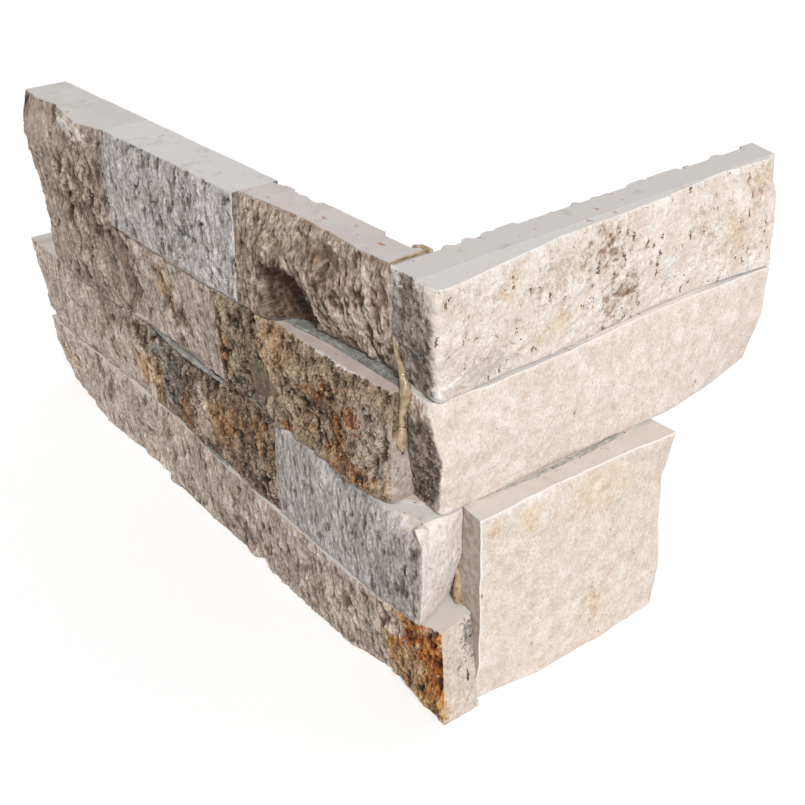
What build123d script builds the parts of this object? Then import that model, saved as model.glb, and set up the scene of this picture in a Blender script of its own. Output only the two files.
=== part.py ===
"""Stacked stone corner: an L-shaped wall panel of split-face travertine strips.

Sawn strips of stone are glued into four courses around an outside corner. The back
of every strip, its beds and its hidden ends are sawn flat. The face that shows is
split, so it stands in and out by a few millimetres along the strip.

Frame: the origin is the inner corner, where the two sawn backs meet, at the level of
the lowest bed. The long leg runs along -X with its face towards -Y. The return leg
runs along +Y with its face towards +X. All sizes are in millimetres.
"""

from build123d import *
import os
from math import radians, tan

# Driving sizes of the panel
panel_height = 152.4
course_count = 4
bed_joint = 0.9
strip_thickness = 20.0
tall_stone_thickness = 27.0

# Where each leg ends, measured from the inner corner along its back
long_upper_end = 252.0
long_third_end = 284.0
long_bottom_end = 276.0
return_upper_end = 134.5
return_lower_end = 78.5
free_end_slant = 5.5

# A split face stands in and out of its strip's thickness by the reliefs given for each
# stone. They never put three points in a row on one straight line, because the loft
# would then pair the corners of its sections in another way

# Upright joints of the long leg, measured from the inner corner
tall_stone_joint = 171.5
grey_stone_joint = 77.5
second_course_joint = 94.0
third_left_joint = 162.0
third_corner_joint = 62.0
bottom_left_joint = 160.0
bottom_middle_joint = 84.5
bottom_corner_joint = 6.0

# How the strips meet at the corner
corner_lap = 3.0
butt_angle = 5.0

# Hollows that the split left in the third stone of the top course
cavity_radius = 10.5
cavity_depth = 11.0
cavity_run = 53.0
cavity_rise = 9.5
scoop_radius = 16.0
scoop_depth = 7.0
scoop_run = 26.0
scoop_drop = 7.0

# Resin at the corner
bead_radius = 2.0
inner_bead_run = 7.0
inner_bead_width = 2.4
inner_bead_height = 3.0
lump_radius = 3.4
lump_height = 10.0

strip_height = (panel_height - (course_count - 1) * bed_joint) / course_count
course_pitch = strip_height + bed_joint


def bed_of(course):
    """Height of the lower bed of a course, counted from 0 at the bottom."""
    return course * course_pitch


def top_of(course):
    """Height of the upper bed of a course, counted from 0 at the bottom."""
    return bed_of(course) + strip_height


def long_leg(run, depth):
    """Plan point on the long leg, by its run along the back and its depth from it."""
    return (run, -depth)


def return_leg(run, depth):
    """Plan point on the return leg, by its run along the back and its depth from it."""
    return (depth, run)


def even_stations(start, end, count):
    """Runs that divide a strip evenly, its two ends included."""
    return [start + (end - start) * step / (count - 1) for step in range(count)]


def face_points(leg, start, end, relief, thickness=strip_thickness):
    """Front edge of one plan section, from the free end to the corner end."""
    runs = even_stations(start, end, len(relief))
    return [leg(run, thickness + rise) for run, rise in zip(runs, relief)]


def plan_section(points, height):
    """Closed plan outline of a strip at one height."""
    with BuildSketch(Plane.XY.offset(height)) as section:
        with BuildLine():
            Polyline(*points, close=True)
        make_face()
    return section.sketch


def straight_strip(leg, start, end, bed, top, faces):
    """Sections of a strip with two sawn ends; faces lists its reliefs from bed to top."""
    heights = even_stations(bed, top, len(faces))
    return [
        plan_section([leg(end, 0), leg(start, 0), *face_points(leg, start, end, relief)], height)
        for relief, height in zip(faces, heights)
    ]


def corner_strip(leg, ends, bed, top, faces, tips, hidden_side):
    """Sections of a strip that turns the corner, where its end is split as well.

    The ends are where the free end stands at the back and at the face. Each tip gives
    the same for the split end at the corner, for one height. The hidden side gives the
    plan points of the back next to the inner corner, from where the tip stands.
    """
    end_at_back, end_at_face = ends
    heights = even_stations(bed, top, len(faces))
    sections = []
    for relief, (tip_at_back, tip_at_face), height in zip(faces, tips, heights):
        front = face_points(leg, end_at_face, tip_at_face, relief)
        outline = [*hidden_side(tip_at_back), leg(end_at_back, 0), *front]
        sections.append(plan_section(outline, height))
    return sections


def square_back(tip):
    """Hidden side of a return strip that other strips butt against."""
    return [return_leg(tip, 0)]


def rebated_back(tip):
    """Hidden side of a return strip with a rebate for the strip that laps it."""
    return [return_leg(tip, corner_lap), return_leg(0, corner_lap), return_leg(0, 0)]


def butted_back(tip):
    """Hidden side of a long-leg strip, from its split end along the tall stone's end."""
    return [(tip, -tip * tan(radians(butt_angle))), (0, 0)]


def save(part, name):
    """Label one finished piece and write it to its own file."""
    part.label = name
    export_step(part, f"parts/{name}.step")


def make_strip(sections, name):
    """Loft a strip through its plan sections and save it."""
    with BuildPart() as strip:
        loft(sections, ruled=True)
    save(strip.part, name)
    return strip.part


def make_top_left_tall_stone():
    """Tall stone at the free end of the long leg, two courses high."""
    sections = straight_strip(
        long_leg, -long_upper_end, -tall_stone_joint, bed_of(2), top_of(3),
        [
            (0.0, 2.2, 3.0, 2.6, 1.6, 0.0),
            (-0.2, 1.8, 3.6, 4.2, 2.8, 0.6),
            (-0.4, 1.9, 3.8, 2.2, 3.6, 2.0),
            (1.2, 2.8, 3.2, 1.4, 3.2, 1.7),
            (3.3, 4.2, 3.0, 1.2, 2.6, 0.8),
            (-1.5, 0.4, -1.3, 1.5, 3.2, 0.0),
        ],
    )
    return make_strip(sections, "top_left_tall_stone")


def make_top_grey_stone():
    """Grey stone of the top course."""
    sections = straight_strip(
        long_leg, -tall_stone_joint, -grey_stone_joint, bed_of(3), top_of(3),
        [
            (2.0, 1.5, 1.5, 1.0, -0.2),
            (1.5, 1.0, 0.5, 0.5, -1.2),
            (-0.7, -0.9, -1.8, -2.1, -2.5),
        ],
    )
    return make_strip(sections, "top_grey_stone")


def make_top_hollow_stone():
    """Stone of the top course next to the corner, with a deep cavity in its face."""
    sections = straight_strip(
        long_leg, -grey_stone_joint, 0.0, bed_of(3), top_of(3),
        [
            (0.0, -1.0, -9.5, -10.6, -11.2, -12.0),
            (-0.6, -0.4, -6.0, -4.8, -7.2, -8.6),
            (-2.4, -1.6, -3.6, -2.4, -4.6, -6.6),
            (-5.2, -6.7, -7.2, -7.5, -6.4, -6.7),
        ],
    )
    cavity_face = -(strip_thickness + cavity_radius - cavity_depth)
    scoop_face = -(strip_thickness + scoop_radius - scoop_depth)
    cavity_centre = (-cavity_run, cavity_face, bed_of(3) + cavity_rise)
    scoop_centre = (-scoop_run, scoop_face, top_of(3) - scoop_drop)
    with BuildPart() as stone:
        loft(sections, ruled=True)
        with Locations(cavity_centre):
            Sphere(cavity_radius, mode=Mode.SUBTRACT)
        with Locations(scoop_centre):
            Sphere(scoop_radius, mode=Mode.SUBTRACT)
    save(stone.part, "top_hollow_stone")
    return stone.part


def make_top_corner_stone():
    """Cream stone of the top course, which runs the whole return leg."""
    sections = corner_strip(
        return_leg, (return_upper_end + free_end_slant, return_upper_end), bed_of(3), top_of(3),
        [
            (-2.0, -4.5, -5.5, -4.8, -3.5, -3.8, -2.5),
            (-3.0, -2.8, -3.0, -2.0, -1.7, -0.5, 2.5),
            (-4.5, -6.8, -4.4, -3.0, -2.6, 0.5, 3.8),
        ],
        [(-8.5, -11.0), (-12.6, -15.0), (-13.3, -15.8)],
        square_back,
    )
    return make_strip(sections, "top_corner_stone")


def make_second_left_stone():
    """Pale stone of the second course, next to the tall stone."""
    sections = straight_strip(
        long_leg, -tall_stone_joint, -second_course_joint, bed_of(2), top_of(2),
        [
            (-2.0, -1.0, -1.6, -2.4, -0.5),
            (-3.5, -1.4, 0.0, -1.6, -0.6),
            (-1.8, 0.7, -1.0, 0.3, -0.4),
            (0.5, 0.4, 0.7, 0.1, 0.0),
        ],
    )
    return make_strip(sections, "second_left_stone")


def make_second_rusty_stone():
    """Rusty stone of the second course, which laps the return stone at the corner."""
    sections = straight_strip(
        long_leg, -second_course_joint, corner_lap, bed_of(2), top_of(2),
        [
            (-0.3, -1.6, 0.9, -0.8, 0.6, -1.5),
            (1.2, -0.7, 0.9, -2.4, 0.2, -2.0),
            (0.6, 1.0, -0.9, -0.2, -0.9, -2.9),
            (0.5, -1.0, -3.5, -2.7, -2.6, -4.5),
        ],
    )
    return make_strip(sections, "second_rusty_stone")


def make_second_corner_stone():
    """Cream stone of the second course, rebated at the corner for the stone that laps it."""
    sections = corner_strip(
        return_leg, (return_upper_end, return_upper_end), bed_of(2), top_of(2),
        [
            (-7.5, -2.5, 0.0, -0.6, -1.8, -2.2, -2.5),
            (-2.5, -1.8, -1.2, -1.2, -1.6, -1.8, 0.0),
            (-2.0, -3.5, -4.5, -4.0, -2.8, -2.8, -5.5),
        ],
        [(-9.5, -10.8), (-12.0, -11.3), (-11.0, -12.3)],
        rebated_back,
    )
    return make_strip(sections, "second_corner_stone")


def make_third_left_stone():
    """Pale stone at the free end of the third course, which stands out past the tall stone."""
    sections = straight_strip(
        long_leg, -long_third_end, -third_left_joint, bed_of(1), top_of(1),
        [
            (-2.8, 0.8, 1.4, 0.2, -0.6, -1.2, -1.0),
            (-2.0, 1.6, 2.3, 0.9, 1.6, -0.3, -0.9),
            (-0.6, 1.3, 1.9, 2.7, 1.2, 1.0, -0.7),
            (0.6, 0.3, 1.3, 2.0, 1.1, 0.3, -2.2),
        ],
    )
    return make_strip(sections, "third_left_stone")


def make_third_rusty_stone():
    """Dark, rust-veined stone of the third course."""
    sections = straight_strip(
        long_leg, -third_left_joint, -third_corner_joint, bed_of(1), top_of(1),
        [
            (-0.9, -1.4, 0.4, -0.4, 0.8, 0.4),
            (-0.4, -0.9, 0.9, 0.8, -0.8, 0.9),
            (-0.6, -2.4, 0.2, 1.1, -1.4, 0.6),
            (-2.5, -2.2, -3.0, -1.8, -2.4, -0.8),
        ],
    )
    return make_strip(sections, "third_rusty_stone")


def make_third_grey_corner_stone():
    """Grey stone of the third course, which runs through the corner and shows its end."""
    sections = corner_strip(
        long_leg, (-third_corner_joint, -third_corner_joint), bed_of(1), top_of(1),
        [
            (0.6, 0.8, 0.8, 0.6, -0.7),
            (0.5, 1.3, 1.0, 1.0, 0.3),
            (0.0, 0.6, 0.2, 1.3, 0.0),
        ],
        [(9.5, 16.5), (15.8, 19.8), (16.8, 20.0)],
        butted_back,
    )
    return make_strip(sections, "third_grey_corner_stone")


def make_bottom_left_stone():
    """Stone at the free end of the bottom course."""
    sections = straight_strip(
        long_leg, -long_bottom_end, -bottom_left_joint, bed_of(0), top_of(0),
        [
            (-4.5, -3.3, -0.8, 0.5, -1.0, -1.8, -2.7),
            (-1.6, -0.2, 1.1, 0.4, -0.5, -1.4, -1.2),
            (0.3, 1.4, 0.9, 1.7, 0.2, 0.5, -1.0),
            (1.0, 2.2, 1.2, 0.6, -0.3, 0.1, -0.6),
        ],
    )
    return make_strip(sections, "bottom_left_stone")


def make_bottom_second_stone():
    """Second stone of the bottom course."""
    sections = straight_strip(
        long_leg, -bottom_left_joint, -bottom_middle_joint, bed_of(0), top_of(0),
        [
            (0.2, -0.9, -0.5, -1.5, -0.7),
            (-0.3, 0.9, -0.6, 0.7, -0.2),
            (0.6, 0.0, 1.3, 0.2, 0.9),
            (-0.4, -0.5, 0.3, 0.8, 1.0),
        ],
    )
    return make_strip(sections, "bottom_second_stone")


def make_bottom_third_stone():
    """Third stone of the bottom course, next to the corner stone."""
    sections = straight_strip(
        long_leg, -bottom_middle_joint, -bottom_corner_joint, bed_of(0), top_of(0),
        [
            (-1.2, -1.3, -1.6, -1.8, -6.5),
            (0.2, -0.6, 0.9, -0.4, -3.2),
            (0.9, 1.4, 0.1, 1.2, -0.6),
            (1.2, 1.3, 1.1, 1.4, 0.8),
        ],
    )
    return make_strip(sections, "bottom_third_stone")


def make_bottom_orange_corner_stone():
    """Short stone of the bottom course at the corner, orange on its long-leg face."""
    sections = corner_strip(
        long_leg, (-bottom_corner_joint, -bottom_corner_joint), bed_of(0), top_of(0),
        [
            (-6.3, -4.5, -3.5),
            (-1.5, -1.5, -4.5),
            (0.3, -0.8, -4.3),
        ],
        [(24.5, 24.3), (22.6, 22.8), (21.0, 22.6)],
        butted_back,
    )
    return make_strip(sections, "bottom_orange_corner_stone")


def make_return_tall_stone():
    """Tall stone of the return leg, two courses high and thicker than the strips."""
    faces = [
        (-0.5, 0.0, -1.0, -5.5),
        (1.5, 1.5, 0.5, -2.0),
        (-0.5, 1.2, 0.5, -1.5),
        (-0.8, 0.4, 0.0, -1.4),
        (3.0, 0.2, -1.0, -1.2),
    ]
    sections = []
    for relief, height in zip(faces, even_stations(bed_of(0), top_of(1), len(faces))):
        end_depth = tall_stone_thickness + relief[-1]
        out_of_square = end_depth * tan(radians(butt_angle))
        front = face_points(return_leg, return_lower_end, -out_of_square, relief, tall_stone_thickness)
        back = [(0, 0), (0, return_lower_end)]
        sections.append(plan_section([*back, *front], height))
    return make_strip(sections, "return_tall_stone")


def make_bed_adhesive(name, course, outline):
    """Thin layer of adhesive in the bed joint above a course."""
    with BuildPart() as layer:
        with BuildSketch(Plane.XY.offset(top_of(course))):
            with BuildLine():
                Polyline(*outline, close=True)
            make_face()
        extrude(amount=bed_joint)
    save(layer.part, name)
    return layer.part


def make_upper_bed_adhesive():
    """Adhesive under the top course, from the tall stone to the end of the return leg."""
    front = face_points(long_leg, -tall_stone_joint, 0.0, (-2.0, -2.0, -2.0, -5.0, -7.8, -8.0))
    turn = [(5.0, -9.0), (14.0, -7.0)]
    side = face_points(return_leg, 0.0, return_upper_end, (-5.5, -5.2, -5.0, -4.6, -6.0, -7.0))
    back = [(0, return_upper_end), (0, 0), (-tall_stone_joint, 0)]
    return make_bed_adhesive("upper_bed_adhesive", 2, [*front, *turn, *side, *back])


def make_middle_bed_adhesive():
    """Adhesive between the second and third courses, which also beds the tall return stone."""
    front = face_points(
        long_leg, -long_upper_end, 0.0, (-4.0, -3.0, -2.0, -2.0, -2.4, -2.8, -1.4, -3.0, -5.0),
    )
    turn = [(12.0, -7.0)]
    side = face_points(return_leg, 5.0, return_lower_end, (-1.4, 0.0, 0.8, 0.8, -3.0))
    back = [(0, return_lower_end), (0, 0), (-long_upper_end, 0)]
    return make_bed_adhesive("middle_bed_adhesive", 1, [*front, *turn, *side, *back])


def make_lower_bed_adhesive():
    """Adhesive between the third and bottom courses of the long leg."""
    corner_end = 8.0
    relief = (-6.0, -2.0, -1.4, -2.0, -0.6, 0.0, -0.2, -3.0, -7.0)
    front = face_points(long_leg, -long_bottom_end, corner_end, relief)
    back = [*butted_back(corner_end), (-long_bottom_end, 0)]
    return make_bed_adhesive("lower_bed_adhesive", 0, [*front, *back])


def make_corner_resin_bead(neighbours):
    """Bead of resin in the groove where the strips of the two legs meet."""
    low = bed_of(2) + strip_height / 2
    joint = top_of(2)
    high = bed_of(3) + strip_height / 2
    rings = [
        ((corner_lap + 0.6, -12.6), low - 3.5, bead_radius * 0.45),
        ((corner_lap + 0.4, -13.4), low, bead_radius * 1.2),
        ((corner_lap + 0.2, -13.2), low + 6.0, bead_radius * 0.8),
        ((corner_lap, -13.6), joint - 8.0, bead_radius * 0.8),
        ((corner_lap + 0.6, -12.0), joint - 1.0, bead_radius * 1.1),
        ((corner_lap * 0.4, -10.4), joint + 5.0, bead_radius),
        ((0.4, -12.8), high - 4.0, bead_radius * 0.5),
    ]
    sections = []
    for centre, height, radius in rings:
        with BuildSketch(Plane.XY.offset(height)) as ring:
            with Locations(centre):
                RegularPolygon(radius, 8)
        sections.append(ring.sketch)
    with BuildPart() as bead:
        loft(sections, ruled=True)
        for stone in neighbours:
            add(stone, mode=Mode.SUBTRACT)
    save(bead.part, "corner_resin_bead")
    return bead.part


def make_return_resin_lump(neighbours):
    """Lump of resin between the split end of the grey corner stone and the tall stone."""
    with BuildPart() as lump:
        with BuildSketch(Plane.XY.offset(bed_of(1))):
            with Locations((13.0, -3.6)):
                RegularPolygon(lump_radius, 8)
        extrude(amount=lump_height, taper=12)
        for stone in neighbours:
            add(stone, mode=Mode.SUBTRACT)
    save(lump.part, "return_resin_lump")
    return lump.part


def make_inner_resin_bead():
    """Dried resin in the inner corner at the top, pressed out of the joint of the top course."""
    with BuildPart() as bead:
        with BuildSketch(Plane.XY.offset(top_of(3) - inner_bead_height)):
            with BuildLine():
                Polyline((0, 0), (-inner_bead_run, 0), (0, inner_bead_width), close=True)
            make_face()
        extrude(amount=inner_bead_height)
    save(bead.part, "inner_resin_bead")
    return bead.part


os.makedirs("parts", exist_ok=True)

make_top_left_tall_stone()
make_top_grey_stone()
hollow_stone = make_top_hollow_stone()
top_corner_stone = make_top_corner_stone()
make_second_left_stone()
rusty_stone = make_second_rusty_stone()
second_corner_stone = make_second_corner_stone()
make_third_left_stone()
make_third_rusty_stone()
grey_corner_stone = make_third_grey_corner_stone()
make_bottom_left_stone()
make_bottom_second_stone()
make_bottom_third_stone()
orange_corner_stone = make_bottom_orange_corner_stone()
tall_stone = make_return_tall_stone()

upper_bed = make_upper_bed_adhesive()
make_middle_bed_adhesive()
lower_bed = make_lower_bed_adhesive()
make_corner_resin_bead([second_corner_stone, rusty_stone, hollow_stone, top_corner_stone, upper_bed])
make_return_resin_lump([grey_corner_stone, tall_stone, lower_bed])
make_inner_resin_bead()
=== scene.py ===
"""Dressed model of a stacked stone corner.

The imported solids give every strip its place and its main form. This script splits their
faces finely, stains them, and adds the adhesive and resin that squeezed out of the joints.
Sizes are in millimetres unless a name says otherwise, and meshes are made in metres.
"""

import logging
import math
from collections.abc import Iterator
from contextlib import contextmanager
from dataclasses import dataclass, field, replace
from enum import Enum

import bmesh
import bpy
import numpy as np
from mathutils import Matrix, Vector


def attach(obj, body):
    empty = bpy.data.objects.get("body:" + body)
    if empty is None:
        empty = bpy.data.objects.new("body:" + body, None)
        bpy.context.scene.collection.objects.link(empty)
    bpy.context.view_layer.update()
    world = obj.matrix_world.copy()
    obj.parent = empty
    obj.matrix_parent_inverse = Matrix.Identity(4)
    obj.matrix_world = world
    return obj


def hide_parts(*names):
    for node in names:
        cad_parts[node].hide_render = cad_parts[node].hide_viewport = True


LOG = logging.getLogger("stacked_stone_corner")
METRES = 0.001
WELD_GAP = 1e-6

# Places of sockets that share a name, in the Vector Math node and in the Mix node.
VECTOR_SCALE = 3
MIX_MASK, MIX_LOW, MIX_HIGH, MIX_UNDER, MIX_OVER = 0, 2, 3, 6, 7
MIX_NUMBER, MIX_COLOUR = 0, 2

Colour = tuple[float, float, float, float]
Point = tuple[float, float, float]
Socket = bpy.types.NodeSocket
Tree = bpy.types.NodeTree
Piece = bpy.types.Object


def tone(red: int, green: int, blue: int) -> Colour:
    """Turn a colour chart reading into the linear colour that shaders take.

    Args:
        red: red from 0 to 255.
        green: green from 0 to 255.
        blue: blue from 0 to 255.

    Returns:
        The linear colour, opaque.
    """
    channels = []
    for channel in (red, green, blue):
        value = channel / 255
        channels.append(value / 12.92 if value <= 0.04045 else ((value + 0.055) / 1.055) ** 2.4)
    return (channels[0], channels[1], channels[2], 1.0)


class Bench:
    """Lays out and links the nodes of one node tree."""

    def __init__(self, tree: Tree) -> None:
        """Take the tree to work on.

        Args:
            tree: the node tree, which may be empty.
        """
        self.tree = tree

    def feed(self, socket: Socket, value: object) -> None:
        """Link a socket to another one, or set its value.

        Args:
            socket: the input to feed.
            value: an output socket, or a plain value.
        """
        if isinstance(value, Socket):
            self.tree.links.new(value, socket)
        else:
            socket.default_value = value

    def lay(self, kind: str, inputs: dict | None = None, **settings: object) -> bpy.types.Node:
        """Add one node.

        Args:
            kind: the node's type.
            inputs: values or output sockets by input name or number.
            settings: properties of the node.

        Returns:
            The new node.
        """
        node = self.tree.nodes.new(kind)
        for name, value in settings.items():
            setattr(node, name, value)
        for key, value in (inputs or {}).items():
            self.feed(node.inputs[key], value)
        return node

    def sum(self, operation: str, *values: object, clamp: bool = False) -> Socket:
        """Work out one number with a Math node."""
        node = self.lay("ShaderNodeMath", dict(enumerate(values)), operation=operation, use_clamp=clamp)
        return node.outputs[0]

    def vector(self, operation: str, *values: object) -> Socket:
        """Work out one vector with a Vector Math node.

        Args:
            operation: what the node does.
            values: plain values or output sockets.

        Returns:
            The vector, or the number for a length.
        """
        places = (0, VECTOR_SCALE) if operation == "SCALE" else range(len(values))
        node = self.lay("ShaderNodeVectorMath", dict(zip(places, values)), operation=operation)
        return node.outputs["Value" if operation == "LENGTH" else "Vector"]

    def swing(self, value: object, middle: object, height: object) -> Socket:
        """Turn a pattern into a height above and below its middle."""
        return self.sum("MULTIPLY", self.sum("SUBTRACT", value, middle), height)

    def squeezed(self, position: object, stretch: object) -> Socket:
        """Press a position together upright, so that a pattern read there is stretched."""
        factors = self.lay("ShaderNodeCombineXYZ", {0: 1.0, 1: 1.0, 2: self.sum("DIVIDE", 1.0, stretch)})
        return self.vector("MULTIPLY", position, factors.outputs[0])

    def ramp(self, value: object, low: object, high: object, smooth: bool = True) -> Socket:
        """Turn a number into a mask.

        Args:
            value: the number.
            low: where the mask is 0.
            high: where the mask is 1.
            smooth: whether it eases in and out.

        Returns:
            The mask.
        """
        easing = "SMOOTHSTEP" if smooth else "LINEAR"
        limits = {"Value": value, "From Min": low, "From Max": high}
        return self.lay("ShaderNodeMapRange", limits, interpolation_type=easing).outputs["Result"]

    def noise(
        self, position: object, size: object, detail: float = 2.0, rough: float = 0.55, output: str = "Fac"
    ) -> Socket:
        """Read soft noise whose features are about as large as the size given.

        Args:
            position: where to read it.
            size: feature size in the position's units.
            detail: number of finer layers.
            rough: weight of the finer layers.
            output: Fac for one number, Color for three.

        Returns:
            The noise.
        """
        scaled = self.vector("SCALE", position, self.sum("DIVIDE", 1.0, size))
        layers = {"Vector": scaled, "Scale": 1.0, "Detail": detail, "Roughness": rough}
        return self.lay("ShaderNodeTexNoise", layers).outputs[output]

    def cells(self, position: object, size: object) -> bpy.types.Node:
        """Add a cell pattern whose cells are about as large as the size given."""
        scaled = self.vector("SCALE", position, self.sum("DIVIDE", 1.0, size))
        return self.lay("ShaderNodeTexVoronoi", {"Vector": scaled, "Scale": 1.0}, feature="F1")

    def blend(self, mask: object, under: object, over: object, mode: str = "MIX") -> Socket:
        """Lay one colour over another through a mask."""
        inputs = {MIX_MASK: mask, MIX_UNDER: under, MIX_OVER: over}
        return self.lay("ShaderNodeMix", inputs, data_type="RGBA", blend_type=mode).outputs[MIX_COLOUR]

    def between(self, mask: object, low: object, high: object) -> Socket:
        """Mix two numbers through a mask."""
        inputs = {MIX_MASK: mask, MIX_LOW: low, MIX_HIGH: high}
        return self.lay("ShaderNodeMix", inputs, data_type="FLOAT").outputs[MIX_NUMBER]


FLOAT = "NodeSocketFloat"
VECTOR = "NodeSocketVector"
COLOUR = "NodeSocketColor"
GEOMETRY = "NodeSocketGeometry"
MATERIAL = "NodeSocketMaterial"


class GroupBench(Bench):
    """Lays out the nodes of a node group with named inputs and one output."""

    def __init__(
        self, name: str, inputs: dict[str, object], output: tuple[str, str], kind: str = "ShaderNodeTree"
    ) -> None:
        """Make an empty group.

        Args:
            name: the group's name.
            inputs: its inputs by name, each with a socket kind, or with the number or vector
                that it starts from.
            output: name and socket kind of its output.
            kind: ShaderNodeTree or GeometryNodeTree.
        """
        super().__init__(bpy.data.node_groups.new(name, kind))
        for label, value in inputs.items():
            if isinstance(value, str):
                self.add_socket(label, value, "INPUT")
            else:
                socket_kind = VECTOR if isinstance(value, tuple) else FLOAT
                self.add_socket(label, socket_kind, "INPUT").default_value = value
        self.add_socket(*output, "OUTPUT")
        self.given = self.lay("NodeGroupInput").outputs
        self.result = self.lay("NodeGroupOutput").inputs[0]

    def add_socket(self, name: str, kind: str, direction: str) -> bpy.types.NodeTreeInterfaceSocket:
        """Add one socket to the group."""
        return self.tree.interface.new_socket(name, in_out=direction, socket_type=kind)

    def close(self, value: Socket) -> Tree:
        """Feed the group's output and give its finished tree."""
        self.feed(self.result, value)
        return self.tree


def stone_ground_group() -> Tree:
    """Build the mottled ground colour that every stone uses.

    Returns:
        The shader group.
    """
    bench = GroupBench("stone ground", {
        "Position": VECTOR, "Deep": COLOUR, "Middle": COLOUR, "Pale": COLOUR, "Mottle Size": 9.0,
        "Streak Weight": 0.4, "Speck Size": 0.6, "Speck Weight": 0.25, "Seed": 0.0,
    }, ("Color", COLOUR))
    given = bench.given
    place = bench.vector("ADD", given["Position"], given["Seed"])
    broad = bench.noise(place, given["Mottle Size"], 3.0, 0.6)
    upright = bench.vector("MULTIPLY", place, (1.0, 1.0, 0.4))
    streak = bench.noise(upright, 2.2, 3.0, 0.6)
    speck = bench.noise(place, given["Speck Size"], 2.0, 0.7)
    level = bench.between(given["Streak Weight"], broad, streak)
    sugar = bench.swing(speck, 0.5, given["Speck Weight"])
    level = bench.sum("ADD", level, sugar)
    colour = bench.blend(bench.ramp(level, 0.3, 0.5), given["Deep"], given["Middle"])
    colour = bench.blend(bench.ramp(level, 0.5, 0.68), colour, given["Pale"])
    return bench.close(colour)


def stain_patch_group() -> Tree:
    """Build the mask of a ragged stain round one place.

    Returns:
        The shader group.
    """
    bench = GroupBench("stain patch", {
        "Position": VECTOR, "Centre": VECTOR, "Reach": (10.0, 10.0, 10.0), "Ragged": 0.6, "Fleck Size": 3.0,
    }, ("Mask", FLOAT))
    given = bench.given
    offset = bench.vector("SUBTRACT", given["Position"], given["Centre"])
    distance = bench.vector("LENGTH", bench.vector("DIVIDE", offset, given["Reach"]))
    wander = bench.noise(given["Position"], given["Fleck Size"], 4.0, 0.62)
    swing = bench.swing(wander, 0.5, given["Ragged"])
    edge = bench.sum("ADD", distance, bench.sum("MULTIPLY", swing, 4.0))
    return bench.close(bench.ramp(edge, 1.12, 0.72))


def crust_group() -> Tree:
    """Build the granular colour of rust, soot or chalk on a stone.

    Returns:
        The shader group.
    """
    bench = GroupBench("mineral crust", {
        "Position": VECTOR, "Dark": COLOUR, "Middle": COLOUR, "Light": COLOUR, "Grain Size": 1.6,
        "Stretch": 1.0, "Hollow": 0.5,
    }, ("Color", COLOUR))
    given = bench.given
    place = bench.squeezed(given["Position"], given["Stretch"])
    grain = bench.noise(place, given["Grain Size"], 3.0, 0.65)
    sunk = bench.sum("MULTIPLY", bench.sum("SUBTRACT", 0.5, given["Hollow"]), 0.4)
    level = bench.sum("ADD", grain, sunk)
    colour = bench.blend(bench.ramp(level, 0.36, 0.5), given["Dark"], given["Middle"])
    colour = bench.blend(bench.ramp(level, 0.52, 0.68), colour, given["Light"])
    return bench.close(colour)


def open_pore_group() -> Tree:
    """Build the mask of the small open pores of travertine, which gather in clusters.

    Returns:
        The shader group.
    """
    bench = GroupBench("open pores", {
        "Position": VECTOR, "Pore Size": 1.4, "Cover": 0.3, "Flatten": (1.0, 1.0, 1.0), "Seed": 0.0,
    }, ("Mask", FLOAT))
    given = bench.given
    place = bench.vector("ADD", given["Position"], given["Seed"])
    wander = bench.noise(place, 1.2, 3.0, output="Color")
    swing = bench.vector("SUBTRACT", wander, (0.5, 0.5, 0.5))
    bent = bench.vector("ADD", place, bench.vector("SCALE", swing, 4.0))
    squashed = bench.vector("MULTIPLY", bent, given["Flatten"])
    cell = bench.cells(squashed, bench.sum("MULTIPLY", given["Pore Size"], 1.8))
    picks = bench.lay("ShaderNodeSeparateColor", {"Color": cell.outputs["Color"]})
    cluster = bench.ramp(bench.noise(place, 10.0, 2.0), 0.4, 0.62)
    cover = bench.sum("MULTIPLY", given["Cover"], bench.between(cluster, 0.25, 2.0))
    chosen = bench.sum("LESS_THAN", picks.outputs[0], cover)
    radius = bench.between(picks.outputs[1], 0.14, 0.42)
    hole = bench.ramp(cell.outputs["Distance"], radius, bench.sum("MULTIPLY", radius, 0.5))
    return bench.close(bench.sum("MULTIPLY", hole, chosen))


def crystal_fleck_group() -> Tree:
    """Build the mask of the tiny crystals that catch the light.

    Returns:
        The shader group.
    """
    bench = GroupBench("crystal flecks", {
        "Position": VECTOR, "Fleck Size": 0.7, "Cover": 0.05,
    }, ("Mask", FLOAT))
    given = bench.given
    cell = bench.cells(given["Position"], given["Fleck Size"])
    pick = bench.lay("ShaderNodeSeparateColor", {"Color": cell.outputs["Color"]}).outputs[2]
    chosen = bench.sum("LESS_THAN", pick, given["Cover"])
    spot = bench.ramp(cell.outputs["Distance"], 0.5, 0.3)
    return bench.close(bench.sum("MULTIPLY", spot, chosen))


def hair_crack_group() -> Tree:
    """Build the mask of fine dark cracks that wander over a face in places.

    Returns:
        The shader group.
    """
    bench = GroupBench("hair cracks", {
        "Position": VECTOR, "Crack Size": 5.0, "Crack Width": 0.012, "Cover": 0.4,
    }, ("Mask", FLOAT))
    given = bench.given
    place = given["Position"]
    bend = bench.noise(place, given["Crack Size"], 4.0, 0.65)
    line = bench.sum("ABSOLUTE", bench.sum("SUBTRACT", bend, 0.5))
    thin = bench.ramp(line, given["Crack Width"], 0.0)
    patch = bench.noise(bench.vector("ADD", place, (37.0, 11.0, 5.0)), 9.0, 2.0)
    rim = bench.sum("SUBTRACT", 0.8, bench.sum("MULTIPLY", given["Cover"], 0.6))
    shown = bench.ramp(patch, bench.sum("SUBTRACT", rim, 0.08), rim)
    return bench.close(bench.sum("MULTIPLY", thin, shown))


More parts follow.
